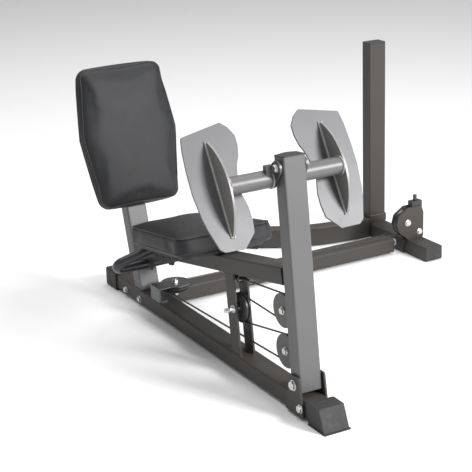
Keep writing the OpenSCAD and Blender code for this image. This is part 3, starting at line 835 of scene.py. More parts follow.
@dataclass
class Cushion:
    """A foam cushion in vinyl on a flat board, blown up by a short cloth run.

    Local x and y are the outline's plane and local z is the thickness, from the board up.
    """

    name: str
    node: str
    body: Body
    axes: Axes
    outline: list[tuple[float, float]]
    corner: float
    thick: float
    base: float
    flipped: bool
    edge: float = 0.020
    crown: float = 0.006
    shrink: float = 0.0045
    cap: float = 0.0075
    voxel: float = 0.0055
    fill: float = 0.85

    def to_machine(self, local: Array) -> Array:
        """Outline coordinates and height to machine axes.

        The back cushion's outline stands up the post and its height points forward; the seat
        cushion's outline lies on the rail and its height points up.
        """
        x, y, h = local[:, 0], local[:, 1], local[:, 2] + self.base
        if self.flipped:
            return self.axes.place(np.stack([x, -h, y], 1))
        return self.axes.place(np.stack([x, y, h], 1))

    def direction(self, local: Array) -> Array:
        """Outline directions to machine directions."""
        x, y, h = local[:, 0], local[:, 1], local[:, 2]
        return self.axes.turn(np.stack([x, -h, y] if self.flipped else [x, y, h], 1))

    def form(self) -> Shell:
        """The plain crowned form before it is blown up.

        Rows run from the middle of the back, round the eased edges, to the middle of the
        front: the inset from the outline follows quarter circles at both edges, and inside
        the front edge the height rises by crown * (1 - r^2), where r is the share of the way
        out from the middle.
        """
        line, normal = rounded_outline(self.outline, self.corner, 0.006)
        line = line - normal * self.shrink
        top = self.thick - self.shrink
        a = np.linspace(0.0, math.pi / 2, 7)
        small = 0.008
        inset = np.concatenate([small * (1 - np.sin(a)), self.edge * (1 - np.cos(a))])
        height = np.concatenate([small * (1 - np.cos(a)), top - self.edge + self.edge * np.sin(a)])
        sides = np.concatenate([
            np.broadcast_to(line[None], (len(inset), *line.shape)) - normal[None] * inset[:, None, None],
            np.broadcast_to(height[:, None, None], (len(inset), len(line), 1))], -1)
        centre = line.mean(0)
        share = np.linspace(1.0, 0.02, 16)[1:]
        def inner(ring: Array, level: Array) -> Array:
            """Rings drawn in towards the middle at the given heights."""
            flat = centre + (ring[None, :, :2] - centre) * share[:, None, None]
            return np.concatenate([flat, np.broadcast_to(level[:, None, None], (*flat.shape[:2], 1))], -1)
        front = inner(sides[-1], top + self.crown * (1 - share ** 2))
        back = inner(sides[0], np.zeros(len(share)))[::-1]
        rows = np.concatenate([back, sides, front])
        shell = grid(rows, close_v=True)
        middle_points = np.array([[*centre, 0.0], [*centre, top + self.crown]])
        count, cols = len(shell.points), rows.shape[1]
        j = np.arange(cols)
        first = np.stack([np.full(cols, count), (j + 1) % cols, j, np.full(cols, count)], 1)
        last_row = (rows.shape[0] - 1) * cols
        last = np.stack([last_row + j, last_row + (j + 1) % cols, np.full(cols, count + 1),
                         np.full(cols, count + 1)], 1)
        points = np.vstack([shell.points, middle_points])
        return Shell(self.to_machine(points), np.vstack([shell.faces, first, last]))

    def heights(self, points: Array) -> Array:
        """How far machine points stand above the board."""
        up = self.direction(np.array([[0.0, 0.0, 1.0]]))[0]
        foot = self.to_machine(np.zeros((1, 3)))[0]
        return (points - foot) @ up

    def build(self, shop: Shop) -> bpy.types.Object:
        """The cushion with its welts and stitches, riding on its body."""
        obj = self.closed_form()
        modifier = obj.modifiers.new("Remesh", "REMESH")
        modifier.mode = "VOXEL"
        modifier.voxel_size = self.voxel
        self.apply(obj)
        self.blow_up(obj)
        self.ease(obj)
        surface = vertices_of(obj.data)
        subdivided = obj.modifiers.new("Subdivision", "SUBSURF")
        subdivided.levels = subdivided.render_levels = 1
        self.apply(obj)
        obj.data.polygons.foreach_set("use_smooth", np.ones(len(obj.data.polygons), bool))
        shop.add(obj, self.body, "pad_vinyl", replaces=(self.node,))
        self.trim(shop, surface)
        return obj

    def closed_form(self) -> bpy.types.Object:
        """The plain form as an object with triangles at its two middles."""
        shell = self.form()
        data = bpy.data.meshes.new(self.name)
        rows = [tuple(dict.fromkeys(face)) for face in shell.faces.tolist()]
        data.from_pydata(shell.points.tolist(), [], rows)
        work = bmesh.new()
        work.from_mesh(data)
        bmesh.ops.recalc_face_normals(work, faces=work.faces)
        work.to_mesh(data)
        work.free()
        obj = bpy.data.objects.new(self.name, data)
        bpy.context.scene.collection.objects.link(obj)
        return obj

    @staticmethod
    def apply(obj: bpy.types.Object) -> None:
        """Replaces an object's mesh by what its modifiers make of it."""
        graph = bpy.context.evaluated_depsgraph_get()
        made = bpy.data.meshes.new_from_object(obj.evaluated_get(graph), depsgraph=graph)
        obj.modifiers.clear()
        obj.data = made

    def blow_up(self, obj: bpy.types.Object) -> None:
        """A short cloth run under inner pressure, the back held, each point's travel capped."""
        rest = vertices_of(obj.data)
        held = obj.vertex_groups.new(name="held")
        low = np.nonzero(self.heights(rest) < 0.004)[0]
        held.add(low.tolist(), 1.0, "REPLACE")
        cloth = obj.modifiers.new("Cloth", "CLOTH")
        cloth.settings.use_pressure = True
        cloth.settings.uniform_pressure_force = 4.0
        cloth.settings.effector_weights.gravity = 0.0
        cloth.settings.quality = 5
        cloth.settings.tension_stiffness = 25.0
        cloth.settings.compression_stiffness = 25.0
        cloth.settings.shear_stiffness = 15.0
        cloth.settings.bending_stiffness = 12.0
        cloth.settings.vertex_group_mass = "held"
        cloth.point_cache.frame_start = 1
        cloth.point_cache.frame_end = 20
        scene = bpy.context.scene
        for step in range(1, 21):
            scene.frame_set(step)
        graph = bpy.context.evaluated_depsgraph_get()
        moved = obj.evaluated_get(graph).to_mesh()
        travel = vertices_of(moved) - rest
        obj.modifiers.clear()
        scene.frame_set(1)
        length = np.linalg.norm(travel, axis=1, keepdims=True)
        travel *= self.cap * np.tanh(length / self.cap) / np.maximum(length, 1e-9)
        obj.data.vertices.foreach_set("co", (rest + travel).astype(np.float32).ravel())
        obj.data.update()

    def ease(self, obj: bpy.types.Object) -> None:
        """A few smoothing passes that take the remesh steps out, the back kept flat."""
        modifier = obj.modifiers.new("Smooth", "SMOOTH")
        modifier.factor = 0.5
        modifier.iterations = 14
        self.apply(obj)
        points = vertices_of(obj.data)
        up = self.direction(np.array([[0.0, 0.0, 1.0]]))[0]
        sunk = np.minimum(self.heights(points), 0.0)
        obj.data.vertices.foreach_set("co", (points - sunk[:, None] * up).astype(np.float32).ravel())
        obj.data.update()

    def seam(self, surface: Array, height: float, slant: float, inward: float) -> tuple[Array, Array]:
        """A closed line on the cushion's skin.

        From each outline point a ray runs outwards, slanted up by slant degrees; the skin is
        the furthest vertex within a few millimetres of the ray.

        Args:
            surface: the cushion's vertices.
            height: level of the rays' start above the board.
            slant: angle of the rays above the outline's plane.
            inward: how far inside the outline the rays start.

        Returns:
            Points on the skin and the outward directions there.
        """
        line, normal = rounded_outline(self.outline, self.corner, 0.004)
        start = np.column_stack([line - normal * inward, np.full(len(line), height)])
        s, c = math.sin(math.radians(slant)), math.cos(math.radians(slant))
        start = self.to_machine(start)
        ray = self.direction(np.column_stack([normal * c, np.full(len(line), s)]))
        reach = np.empty(len(start))
        for part in np.array_split(np.arange(len(start)), 12):
            gap = surface[None] - start[part, None]
            along = np.einsum("ijk,ik->ij", gap, ray[part])
            off = np.linalg.norm(gap - along[..., None] * ray[part, None], axis=2)
            reach[part] = np.where(off < 0.006, along, -1.0).max(1)
        reach = smooth_ring(reach, 9)
        return start + ray * reach[:, None], ray

    def trim(self, shop: Shop, surface: Array) -> None:
        """Welts round the front edge and round the board side, and a row of stitches by the front welt."""
        shells = []
        for height, slant, inward in ((self.thick - self.edge * 1.15, 12.0, 0.05), (0.010, 0.0, 0.05)):
            points, ray = self.seam(surface, height, slant, inward)
            up = self.direction(np.array([[0.0, 0.0, 1.0]]))[0]
            shells.append(tube(points - ray * 0.0006, 0.0021, 10, closed=True, reference=tuple(up)))
        welt = mesh_object(self.name + "_welts", joined(shells))
        shop.add(welt, self.body, "pad_vinyl", shop.palette.welt)
        points, ray = self.seam(surface, self.thick - self.edge * 0.72, 24.0, 0.05)
        stitches = mesh_object(self.name + "_stitches", self.stitches(points, ray))
        shop.add(stitches, self.body, "pad_vinyl", shop.palette.thread)

    @staticmethod
    def stitches(points: Array, ray: Array) -> Shell:
        """Short thread humps along a closed line, one every second point.

        Each is a strip of three stations by three points, standing off the skin by half a
        millimetre in its middle.
        """
        here, there = points[0::2], np.roll(points, -1, 0)[0::2]
        out = ray[0::2]
        along = there - here
        side = np.cross(along, out)
        side /= np.linalg.norm(side, axis=1, keepdims=True)
        u = np.array([0.05, 0.45, 0.85])
        v = np.array([-1.0, 0.0, 1.0])
        lift = (0.0002 + 0.0007 * np.array([0.2, 1.0, 0.2])[:, None] * np.array([0.0, 1.0, 0.0])[None])
        spots = (here[:, None, None] + along[:, None, None] * u[None, :, None, None]
                 + side[:, None, None] * (v * 0.0005)[None, None, :, None]
                 + out[:, None, None] * lift[None, :, :, None])
        count = len(here)
        base = (np.arange(count) * 9)[:, None, None]
        quad = np.array([[0, 1, 4, 3], [1, 2, 5, 4], [3, 4, 7, 6], [4, 5, 8, 7]])
        return Shell(spots.reshape(-1, 3), (base + quad[None]).reshape(-1, 4))


def back_cushion() -> Cushion:
    """The tall back cushion on the post, wide at mid height."""
    outline = [(-0.143, 0.279), (-0.176, 0.520), (-0.148, 0.749),
               (0.148, 0.749), (0.176, 0.520), (0.143, 0.279)]
    return Cushion("back_cushion", "back_pad", Body.FRAME, LAYOUT.post(), outline, 0.040, 0.058, 0.0395, True,
                   edge=0.026)


def seat_cushion() -> Cushion:
    """The seat cushion on the sliding carriage, wider at the front."""
    outline = [(-0.172, 0.338), (0.172, 0.338), (0.131, 0.790), (-0.131, 0.790)]
    return Cushion("seat_cushion", "seat_pad", Body.SEAT, LAYOUT.rail(), outline, 0.044, 0.062, 0.037, False,
                   edge=0.013, crown=0.004)


# ---------------------------------------------------------------------------------------------
# Handle bar


@dataclass(frozen=True)
class HandleBar:
    """One bent tube under the seat: a cross bar, two tight bends and two legs to the carriage."""

    radius: float = 0.016
    half: float = 0.134
    bend: float = 0.024
    turn: float = 150.0
    leg: float = 0.111
    tilt: float = 53.0
    along: float = 0.850
    drop: float = -0.049

    def path(self) -> Array:
        """Centre line from leg end to leg end: straight, arc, straight, arc, straight."""
        a = np.radians(np.linspace(-90.0, self.turn - 90.0, 40))
        arc = np.stack([self.half + self.bend * np.cos(a), self.bend + self.bend * np.sin(a)], 1)
        last = math.radians(self.turn - 90.0)
        way = np.array([-math.sin(last), math.cos(last)])
        leg = arc[-1] + way * np.linspace(0.004, self.leg, 24)[:, None]
        bar = np.stack([np.linspace(0.0, self.half - 0.004, 24), np.zeros(24)], 1)
        right = np.vstack([bar, arc, leg])
        left = right[::-1] * np.array([-1.0, 1.0])
        flat = np.vstack([left[:-1], right])
        t = math.radians(self.tilt)
        y = self.along - flat[:, 1] * math.sin(t)
        z = self.drop + flat[:, 1] * math.cos(t)
        return LAYOUT.rail().place(np.stack([flat[:, 0], y, z], 1))

    def build(self, shop: Shop) -> None:
        """The tube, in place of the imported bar."""
        t = math.radians(self.tilt)
        across = LAYOUT.rail().turn(np.array([[0.0, math.cos(t), math.sin(t)]]))[0]
        bar = mesh_object("handle_tube", tube(self.path(), self.radius, 32, reference=tuple(across)))
        shop.add(bar, Body.SEAT, "link_paint", shop.palette.handle, replaces=("handle_bar",))


# ---------------------------------------------------------------------------------------------
# Cable


def turned(vector: Array, angle: float) -> Array:
    """A plane vector turned by an angle in radians."""
    c, s = math.cos(angle), math.sin(angle)
    return np.array([vector[0] * c - vector[1] * s, vector[0] * s + vector[1] * c])


def cross_tangent(c1: Array, c2: Array, radius: float, side: int) -> Array:
    """Where the crossed tangent of two equal circles leaves the first."""
    way = c2 - c1
    gap = float(np.linalg.norm(way))
    return c1 + radius * turned(way / gap, side * math.acos(2 * radius / gap))


def point_tangent(centre: Array, point: Array, radius: float, side: int) -> Array:
    """Where a line from a point touches a circle."""
    way = point - centre
    gap = float(np.linalg.norm(way))
    return centre + radius * turned(way / gap, side * math.acos(radius / gap))


@dataclass(frozen=True)
class PressCable:
    """The four straight runs between the frame and the arm's pulleys."""

    diameter: float = 0.0055
    wrap: float = 0.0432

    def runs(self) -> dict[str, tuple[Array, Array]]:
        """Frame end and arm end of each run."""
        up, low, mid = (joint_place(n + "_pulley_spin") for n in ("upper", "lower", "mid"))
        floor = joint_place("floor_pulley_spin")
        pivot = joint_place("arm_pivot")
        anchor = pivot + np.array([0.0, 0.2955, 0.204])
        entry = np.array([pivot[0], floor[1], floor[2]])
        arm_x, mid_x = pivot[0], mid[0]
        a, u, m, w, e = (point[1:] for point in (anchor, up, mid, low, entry))
        r = self.wrap
        pairs = {
            "anchor_run": (arm_x, a, point_tangent(u, a, r, 1)),
            "upper_run": (mid_x, cross_tangent(m, u, r, -1), cross_tangent(u, m, r, -1)),
            "lower_run": (mid_x, cross_tangent(m, w, r, 1), cross_tangent(w, m, r, 1)),
            "floor_run": (arm_x, e, point_tangent(w, e, r, -1)),
        }
        return {name: (np.array([x, *p]), np.array([arm_x, *q])) for name, (x, p, q) in pairs.items()}

    def build(self, shop: Shop) -> None:
        """Each run as a thin straight tube between the frame and the arm."""
        first = True
        for name, (start, end) in self.runs().items():
            length = float(np.linalg.norm(end - start))
            t = np.linspace(0.0005, 1 - 0.0005, int(length / 0.004))[:, None]
            run = mesh_object(name, tube(start + (end - start) * t, self.diameter / 2, 12))
            shop.palette.dress(run, shop.palette.slots["cable_black"])
            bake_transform(run)
            if first:
                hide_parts("cable_front_runs")
            first = False
            shop.pieces.append(name)
            LOG.info("piece %s from frame to press arm, %.3f m", name, length)


# ---------------------------------------------------------------------------------------------
# Welds


def bead(path: Array, radius: float, closed: bool = False,
         reference: tuple[float, float, float] = (0, 0, 1)) -> Shell:
    """A weld bead: a tube whose radius ripples by a sixth every four millimetres.

    Args:
        path: corner or end points of the seam.
        radius: mean radius.
        closed: a seam that meets itself.
        reference: direction that the seam never follows.

    Returns:
        The bead's shell.
    """
    path = np.asarray(path, float)
    ring = np.vstack([path, path[:1]]) if closed else path
    run = np.concatenate([[0.0], np.cumsum(np.linalg.norm(np.diff(ring, axis=0), axis=1))])
    even = np.linspace(0.0, run[-1], max(int(run[-1] / 0.0013), 8), endpoint=not closed)
    points = np.stack([np.interp(even, run, ring[:, k]) for k in range(3)], 1)
    ripple = radius * (1 + 0.17 * np.abs(np.sin(even * TAU / 0.008)) + 0.06 * np.sin(even * 910.0))
    return tube(points, ripple, 8, closed=closed, reference=reference)


def ring_path(centre: Array, radius: float, count: int = 96) -> Array:
    """A circle round an axis along X."""
    a = np.linspace(0.0, TAU, count, endpoint=False)
    return centre + np.stack([a * 0, radius * np.cos(a), radius * np.sin(a)], 1)


@dataclass(frozen=True)
class Welds:
    """The beads that show on the frame, the arm and the foot plates."""

    rib_x: float = 0.181
    rib_half: float = 0.003
    chord: float = 0.136
    tube_radius: float = 0.025
    link_face: float = 0.0465
    cheek_x: float = 0.0175
    cheek_half: float = 0.042
    cheek_heights: tuple[float, float] = (0.1936, 0.0752)
    upright_depth: float = 0.050
    carriage_face: float = 0.0425

    def foot_welds(self, shop: Shop) -> None:
        """Both sides of each rib along its foot plate, and round the cross tubes."""
        plate = LAYOUT.plate()
        shells = []
        for x in (-self.rib_x, self.rib_x):
            for side in (-1, 1):
                ends = [[x + side * (self.rib_half + 0.0012), -0.0012, s] for s in (-self.chord, self.chord)]
                shells.append(bead(plate.place(np.array(ends)), 0.0038, reference=(1, 0, 0)))
        rib = mesh_object("rib_welds", joined(shells))
        # painted highlight: the rib beads wear the light weld colour that stands in for their glint
        shop.add(rib, Body.FEET, "plate_paint", shop.palette.weld_painted_glint)
        centre = middle("tie_rod")
        rings = []
        for x in (self.link_face, self.rib_x - self.rib_half - 0.0015):
            for side in (-1, 1):
                spot = centre + np.array([side * x, 0.0, 0.0])
                rings.append(bead(ring_path(spot, self.tube_radius + 0.001), 0.0023, True, (1, 0, 0)))
        around = mesh_object("cross_tube_welds", joined(rings))
        # painted highlight: the cross tube beads wear the same light weld colour that stands in for glint
        shop.add(around, Body.FEET, "silver_paint", shop.palette.weld_painted_glint)

    @staticmethod
    def box_seam(axes: Axes, x: float, y: float, z: float, lift: float = 0.0) -> Array:
        """A rectangle with cut corners round a tube, in a leaning frame."""
        e = 0.005
        flat = [(-x, -y + e), (-x, y - e), (-x + e, y), (x - e, y),
                (x, y - e), (x, -y + e), (x - e, -y), (-x + e, -y)]
        return axes.place(np.array([[a, b, z + lift * b] for a, b in flat]))

    def frame_welds(self, shop: Shop) -> None:
        """Back post foot, upright feet, connecting tube end and mast foot."""
        post = LAYOUT.post()
        slope = math.tan(math.radians(LAYOUT.post_lean))
        shells = [bead(self.box_seam(post, 0.036, 0.026, 0.0015, slope), 0.0026, True)]
        base_top = corners("back_post")[0][2]
        for node in ("upright_plate_right", "upright_plate_left"):
            low, high = corners(node)
            for x in (low[0], high[0]):
                z = base_top + 0.001
                ends = [[x, low[1], z], [x, low[1] + self.upright_depth, z]]
                shells.append(bead(np.array(ends), 0.0022))
        low, high = corners("connecting_tube")
        x, z = low[0] + 0.001, high[2] - 0.0005
        shells.append(bead(np.array([[x, low[1] + 0.005, z], [x, high[1] - 0.008, z]]), 0.0026))
        low, high = corners("mast")
        spot = Axes(np.array([(low[0] + high[0]) / 2, (low[1] + high[1]) / 2, low[2]]), 0.0)
        shells.append(bead(self.box_seam(spot, 0.036, 0.026, 0.0275), 0.0024, True))
        done = mesh_object("frame_welds", joined(shells))
        shop.add(done, Body.FRAME, "frame_paint", shop.palette.weld_dark)

    def arm_welds(self, shop: Shop) -> None:
        """The pulley cheeks' edges along the back of the arm."""
        arm = LAYOUT.arm()
        shells = []
        y = LAYOUT.tube_half + 0.0012
        for s in self.cheek_heights:
            for x in (-self.cheek_x, self.cheek_x):
                ends = arm.place(np.array([[x, y, s - self.cheek_half], [x, y, s + self.cheek_half]]))
                shells.append(bead(ends, 0.0022, reference=(1, 0, 0)))
        done = mesh_object("cheek_welds", joined(shells))
        shop.add(done, Body.ARM, "link_paint", shop.palette.weld_dark)

    def carriage_welds(self, shop: Shop) -> None:
        """Rings where the handle bar passes the carriage plates, and where its legs end."""
        rail = LAYOUT.rail()
        bar = HandleBar()
        shells = []
        for x in (-self.carriage_face, self.carriage_face):
            ring = ring_path(np.array([x, bar.along, bar.drop]), bar.radius + 0.0005, 72)
            shells.append(bead(rail.place(ring), 0.0021, True, (1, 0, 0)))
        path = bar.path()
        for end, inner in ((path[0], path[6]), (path[-1], path[-7])):
            way = (inner - end) / np.linalg.norm(inner - end)
            side = np.cross(way, [0.0, 0.0, 1.0])
            side /= np.linalg.norm(side)
            up = np.cross(side, way)
            a = np.linspace(0.0, TAU, 64, endpoint=False)[:, None]
            ring = end + 0.0158 * (np.cos(a) * side + np.sin(a) * up)
            ring[:, 0] = bar_wall(end[0], rail.origin[0])
            shells.append(bead(ring, 0.0026, True, (1, 0, 0)))
        done = mesh_object("handle_welds", joined(shells))
        shop.add(done, Body.SEAT, "link_paint", shop.palette.weld_dark)

    def build(self, shop: Shop) -> None:
        """All the beads."""
        self.foot_welds(shop)
        self.frame_welds(shop)
        self.arm_welds(shop)
        self.carriage_welds(shop)


def bar_wall(end: float, centre: float) -> float:
    """The outer face of the carriage plate on the side of a leg's end."""
    return centre + math.copysign(0.0430, end - centre)


# ---------------------------------------------------------------------------------------------
# Fasteners


@dataclass(frozen=True)
class CrossBolt:
    """A bolt through the machine from side to side, with a head, a nut and two washers."""

    centre: Array
    low: float
    high: float
    radius: float
    across: float
    height: float
    way: tuple[float, float, float] = (1.0, 0.0, 0.0)
    tail: float = 0.0

    def shell(self) -> Shell:
        """Shank, head at the low end, nut at the high end, washers and a threaded tail."""
        way = np.array(self.way)
        first, last = self.centre + way * self.low, self.centre + way * self.high
        tip = last + way * (self.height + 0.003)
        parts = [shank(first, tip, self.radius, 0.010), hexagon(first, -way, self.across, self.height),
                 hexagon(last, way, self.across, self.height),
                 washer(first + way * 0.0001, -way, self.radius, self.across * 0.66),
                 washer(last - way * 0.0001, way, self.radius, self.across * 0.66)]
        if self.tail:
            root, end = first - way * self.height * 0.9, first - way * self.tail
            parts.append(shank(root, end, self.radius * 1.15, self.tail * 0.5))
        return joined(parts)


class Fasteners:
    """Every bolt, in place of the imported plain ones."""

    def arm_bolts(self, shop: Shop) -> None:
        """Arm pivot, foot plate pivot and the two cheek bolts."""
        pivot = CrossBolt(joint_place("arm_pivot"), -0.0432, 0.0432, 0.008, 0.024, 0.009)
        made = mesh_object("arm_pivot_bolt", pivot.shell())
        shop.add(made, Body.FRAME, "bolt_chrome", replaces=("pivot_bolt",))
        foot = CrossBolt(joint_place("foot_pivot"), -0.0455, 0.0455, 0.006, 0.019, 0.008)
        made = mesh_object("foot_plate_bolt", foot.shell())
        shop.add(made, Body.ARM, "bolt_chrome", replaces=("foot_pivot_bolt",))
        cheeks = [CrossBolt(joint_place(n), -0.0172, 0.0172, 0.005, 0.018, 0.007).shell()
                  for n in ("upper_pulley_spin", "lower_pulley_spin")]
        made = mesh_object("arm_pulley_bolts", joined(cheeks))
        shop.add(made, Body.ARM, "bolt_chrome", replaces=("cheek_bolts",))

    def pulley_axles(self, shop: Shop) -> None:
        """Middle, floor and tower pulley bolts, and the bolt of the tower plates' spacer."""
        pivot = joint_place("arm_pivot")
        mid = joint_place("mid_pulley_spin").copy()
        mid[0] = pivot[0]
        floor = joint_place("floor_pulley_spin")
        tower = joint_place("tower_pulley_spin")
        spacer = np.array([tower[0] + 0.052, tower[1] - 0.0176, tower[2] - 0.041])
        shells = [
            CrossBolt(mid, -0.0322, 0.0192, 0.006, 0.018, 0.007, tail=0.030).shell(),
            CrossBolt(floor, -0.020, 0.0162, 0.005, 0.017, 0.008, (0.0, 0.0, 1.0)).shell(),
            CrossBolt(tower, -0.0178, 0.0178, 0.006, 0.019, 0.007, (0.0, 1.0, 0.0)).shell(),
            hexagon(spacer, np.array([0.0, -1.0, 0.0]), 0.017, 0.007),
            washer(spacer + np.array([0.0, 0.0001, 0.0]), np.array([0.0, -1.0, 0.0]), 0.004, 0.0115),
        ]
        made = mesh_object("pulley_axle_bolts", joined(shells))
        shop.add(made, Body.FRAME, "bolt_chrome", replaces=("pulley_bolts",))

    def frame_fixings(self, shop: Shop) -> None:
        """The bolt heads on the base tube, the pivot plate and the gym's tube."""
        pivot = joint_place("arm_pivot")
        gym_face = corners("gym_base_tube")[0][0]
        post = corners("back_post")[0][1]
        spots = [
            (pivot + [-0.0351, post + 0.0156 - pivot[1], -0.066], (-1, 0, 0), 0.016),
            (pivot + [-0.0351, post + 0.1216 - pivot[1], -0.066], (-1, 0, 0), 0.016),
            (pivot + [-0.0432, -0.0345, -0.058], (-1, 0, 0), 0.019),
            (np.array([gym_face - 0.0061, post + 0.0016, 0.028]), (-1, 0, 0), 0.019),
            (np.array([gym_face - 0.026, post + 0.2345, 0.050]), (0, -1, 0), 0.019),
        ]
        shells = []
        for spot, way, across in spots:
            way = np.array(way, float)
            spot = np.asarray(spot, float)
            shells += [hexagon(spot, way, across, 0.008), washer(spot, way, 0.004, across * 0.68)]
        made = mesh_object("frame_bolt_heads", joined(shells))
        shop.add(made, Body.FRAME, "bolt_chrome", replaces=("frame_bolts",))

    def post_screws(self, shop: Shop) -> None:
        """Two dome heads on the back of the post that hold the back board."""
        post = LAYOUT.post()
        shells = []
        for s in (0.420, 0.640):
            a = np.linspace(0.0, math.pi / 2, 9)
            profile = np.stack([0.0095 * np.cos(a) + 1e-5, 0.0045 * np.sin(a)], 1)
            profile = np.vstack([[[0.0095, -0.0005]], profile])
            spot = post.place(np.array([[0.0, LAYOUT.tube_half, s]]))[0]
            way = post.turn(np.array([[0.0, 1.0, 0.0]]))[0]
            shells.append(lathe(profile, spot, way, 32))
        made = mesh_object("back_board_screws", joined(shells))
        shop.add(made, Body.FRAME, "bolt_chrome")

    def build(self, shop: Shop) -> None:
        """All the bolts."""
        self.arm_bolts(shop)
        self.pulley_axles(shop)
        self.frame_fixings(shop)
        self.post_screws(shop)


# ---------------------------------------------------------------------------------------------
# Pulleys


@dataclass(frozen=True)
class PulleyDetail:
    """What shows on a pulley's two faces: raised rim bead, web ribs and bearing shields."""

    face: float = 0.008
    hub: float = 0.011
    ribs: int = 6

    def build(self, name: str, shop: Shop) -> None:
        """The details of one pulley, riding on it."""
        centre, axis = joint_place(name + "_spin"), joint_axis(name + "_spin")
        moulded, shields = [], []
        for side in (-1.0, 1.0):
            way = axis * side
            f = self.face - 0.0002
            rim = [[0.0375, f], [0.0380, f + 0.0012], [0.0395, f + 0.0016], [0.0410, f + 0.0012], [0.0415, f]]
            boss = [[0.0120, f + 0.0026], [0.0150, f + 0.0024], [0.0165, f]]
            moulded += [lathe(np.array(rim), centre, way), lathe(np.array(boss), centre, way)]
            moulded.append(self.webs(centre, way, f))
            h = self.hub - 0.0001
            ring = [[0.0066, h], [0.0070, h + 0.0004], [0.0108, h + 0.0004], [0.0112, h]]
            shields.append(lathe(np.array(ring), centre, way))
        shop.add(mesh_object(name + "_webs", joined(moulded)), name, "pulley_black")
        shop.add(mesh_object(name + "_shields", joined(shields)), name, "bolt_chrome", shop.palette.shield)

    def webs(self, centre: Array, way: Array, face: float) -> Shell:
        """Radial ribs between boss and rim: half-round strips, height a sine across the width."""
        helper = np.array([0.0, 0.0, 1.0]) if abs(way[2]) < 0.9 else np.array([1.0, 0.0, 0.0])
        side = np.cross(helper, way)
        side /= np.linalg.norm(side)
        up = np.cross(way, side)
        shells = []
        for k in range(self.ribs):
            a = TAU * k / self.ribs
            out = side * math.cos(a) + up * math.sin(a)
            across = np.cross(way, out)
            r = np.linspace(0.0155, 0.0380, 8)
            w = np.linspace(-1.0, 1.0, 7)
            points = (centre + out * r[:, None, None] + across * (w * 0.0016)[None, :, None]
                      + way * (face + 0.0014 * np.cos(w * math.pi / 2))[None, :, None])
            shells.append(grid(points))
        return joined(shells)


# ---------------------------------------------------------------------------------------------
# Small mouldings


class Mouldings:
    """The pull pin's grip."""

    def knob(self, shop: Shop) -> None:
        """Twelve flutes round the knob and a dished face."""
        low, high = corners("pull_pin")
        centre = np.array([low[0], (low[1] + high[1]) / 2, (low[2] + high[2]) / 2])
        a = np.arange(96) / 96 * TAU
        along = np.array([0.0, 0.0015, 0.004, 0.006, 0.016, 0.018, 0.0195])
        base = np.array([0.0112, 0.0128, 0.0142, 0.0152, 0.0152, 0.0146, 0.0135])
        flute = 1 - 0.05 * np.clip(np.cos(a * 12), 0, 1)[None] * np.array([0, .2, .8, 1, 1, .8, .2])[:, None]
        radius = base[:, None] * flute
        ring = np.stack([np.zeros(96), np.cos(a), np.sin(a)], 1)
        points = centre + radius[..., None] * ring[None] + np.array([1.0, 0, 0]) * along[:, None, None]
        shell = grid(points, close_v=True)
        dish = [[0.0113, 0.0002], [0.0100, -0.0002], [0.0075, 0.0004], [0.0060, 0.0], [0.0002, -0.0004]]
        face = lathe(np.array(dish), centre, np.array([1.0, 0.0, 0.0]), 96)
        shop.add(mesh_object("pull_pin_grip", shell + face), Body.PIN, "pin_black")

    def build(self, shop: Shop) -> None:
        """All the mouldings."""
        self.knob(shop)


# ---------------------------------------------------------------------------------------------
# Stage


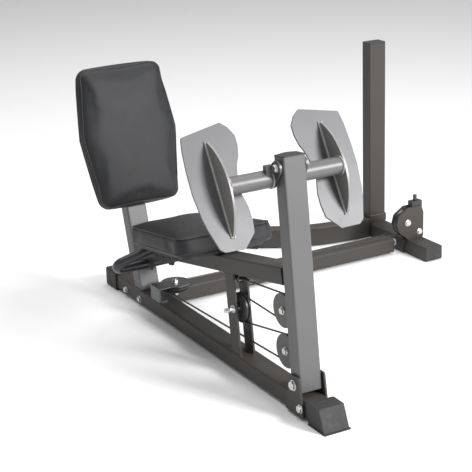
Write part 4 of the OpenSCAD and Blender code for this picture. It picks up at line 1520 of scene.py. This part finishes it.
@dataclass(frozen=True)
class Studio:
    """Pale floor, soft lights and the camera, which looks from the front right and above."""

    azimuth: float = 29.1
    pitch: float = 18.81
    roll: float = -1.85
    lens: float = 108.54
    sensor: float = 36.0
    eye: tuple[float, float, float] = (-2.3205, -3.6536, 1.753)

    def camera(self) -> None:
        """A level camera turned by azimuth, pitch and roll."""
        yaw, pitch, roll = (math.radians(v) for v in (self.azimuth, self.pitch, self.roll))
        ahead = np.array([math.sin(yaw) * math.cos(pitch), math.cos(yaw) * math.cos(pitch), -math.sin(pitch)])
        right = np.cross(ahead, [0.0, 0.0, 1.0])
        right /= np.linalg.norm(right)
        up = np.cross(right, ahead)
        side = math.cos(roll) * right + math.sin(roll) * up
        top = -math.sin(roll) * right + math.cos(roll) * up
        data = bpy.data.cameras.new("camera")
        data.lens = self.lens
        data.sensor_width = self.sensor
        obj = bpy.data.objects.new("camera", data)
        rows = np.eye(4)
        rows[:3, 0], rows[:3, 1], rows[:3, 2], rows[:3, 3] = side, top, -ahead, self.eye
        obj.matrix_world = Matrix(rows.tolist())
        bpy.context.scene.collection.objects.link(obj)
        bpy.context.scene.camera = obj

    def floor(self) -> None:
        """A wide pale floor."""
        spot = np.array([[[-30.0, -30.0, 0.0], [30.0, -30.0, 0.0]], [[-30.0, 30.0, 0.0], [30.0, 30.0, 0.0]]])
        obj = mesh_object("floor", grid(spot), smooth=False)
        g = Graph("pale_floor")
        color = g.mix(g.noise(2.0), (0.86, 0.86, 0.86), (0.88, 0.88, 0.88))
        obj.data.materials.append(g.finish(color, 0.75, Specular_IOR_Level=0.2))

    @staticmethod
    def area(name: str, spot: tuple[float, float, float], aim: tuple[float, float, float],
             size: float, power: float) -> None:
        """A square soft light that faces a point."""
        data = bpy.data.lights.new(name, "AREA")
        data.size = size
        data.energy = power
        obj = bpy.data.objects.new(name, data)
        obj.location = spot
        obj.rotation_euler = (Vector(aim) - Vector(spot)).to_track_quat("-Z", "Y").to_euler()
        bpy.context.scene.collection.objects.link(obj)

    def lights(self) -> None:
        """A white surround, a broad front light and a top light."""
        world = bpy.data.worlds.new("surround")
        world.use_nodes = True
        world.node_tree.nodes["Background"].inputs["Color"].default_value = (1.0, 1.0, 1.0, 1.0)
        world.node_tree.nodes["Background"].inputs["Strength"].default_value = 0.45
        bpy.context.scene.world = world
        bpy.context.scene.view_settings.view_transform = "Standard"
        self.area("front_light", (1.35, -3.3, 2.1), (-0.35, -0.1, 0.5), 1.1, 205.0)
        self.area("top_light", (0.0, 0.8, 5.0), (0.0, 0.6, 0.0), 5.0, 230.0)

    def build(self) -> None:
        """Camera, floor and lights."""
        self.camera()
        self.floor()
        self.lights()


# ---------------------------------------------------------------------------------------------


def main() -> None:
    """Builds the machine's looks in order."""
    logging.basicConfig(level=logging.INFO, format="%(name)s: %(message)s")
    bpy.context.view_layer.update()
    Studio().build()
    shop = Shop(Palette())
    shop.palette.dress_frame()
    PressCable().build(shop)
    back_cushion().build(shop)
    seat_cushion().build(shop)
    HandleBar().build(shop)
    Welds().build(shop)
    Fasteners().build(shop)
    for name in ("upper_pulley", "lower_pulley", "mid_pulley", "floor_pulley", "tower_pulley"):
        PulleyDetail().build(name, shop)
    Mouldings().build(shop)
    LOG.info("%d new pieces", len(shop.pieces))


if __name__ == "__main__":
    main()
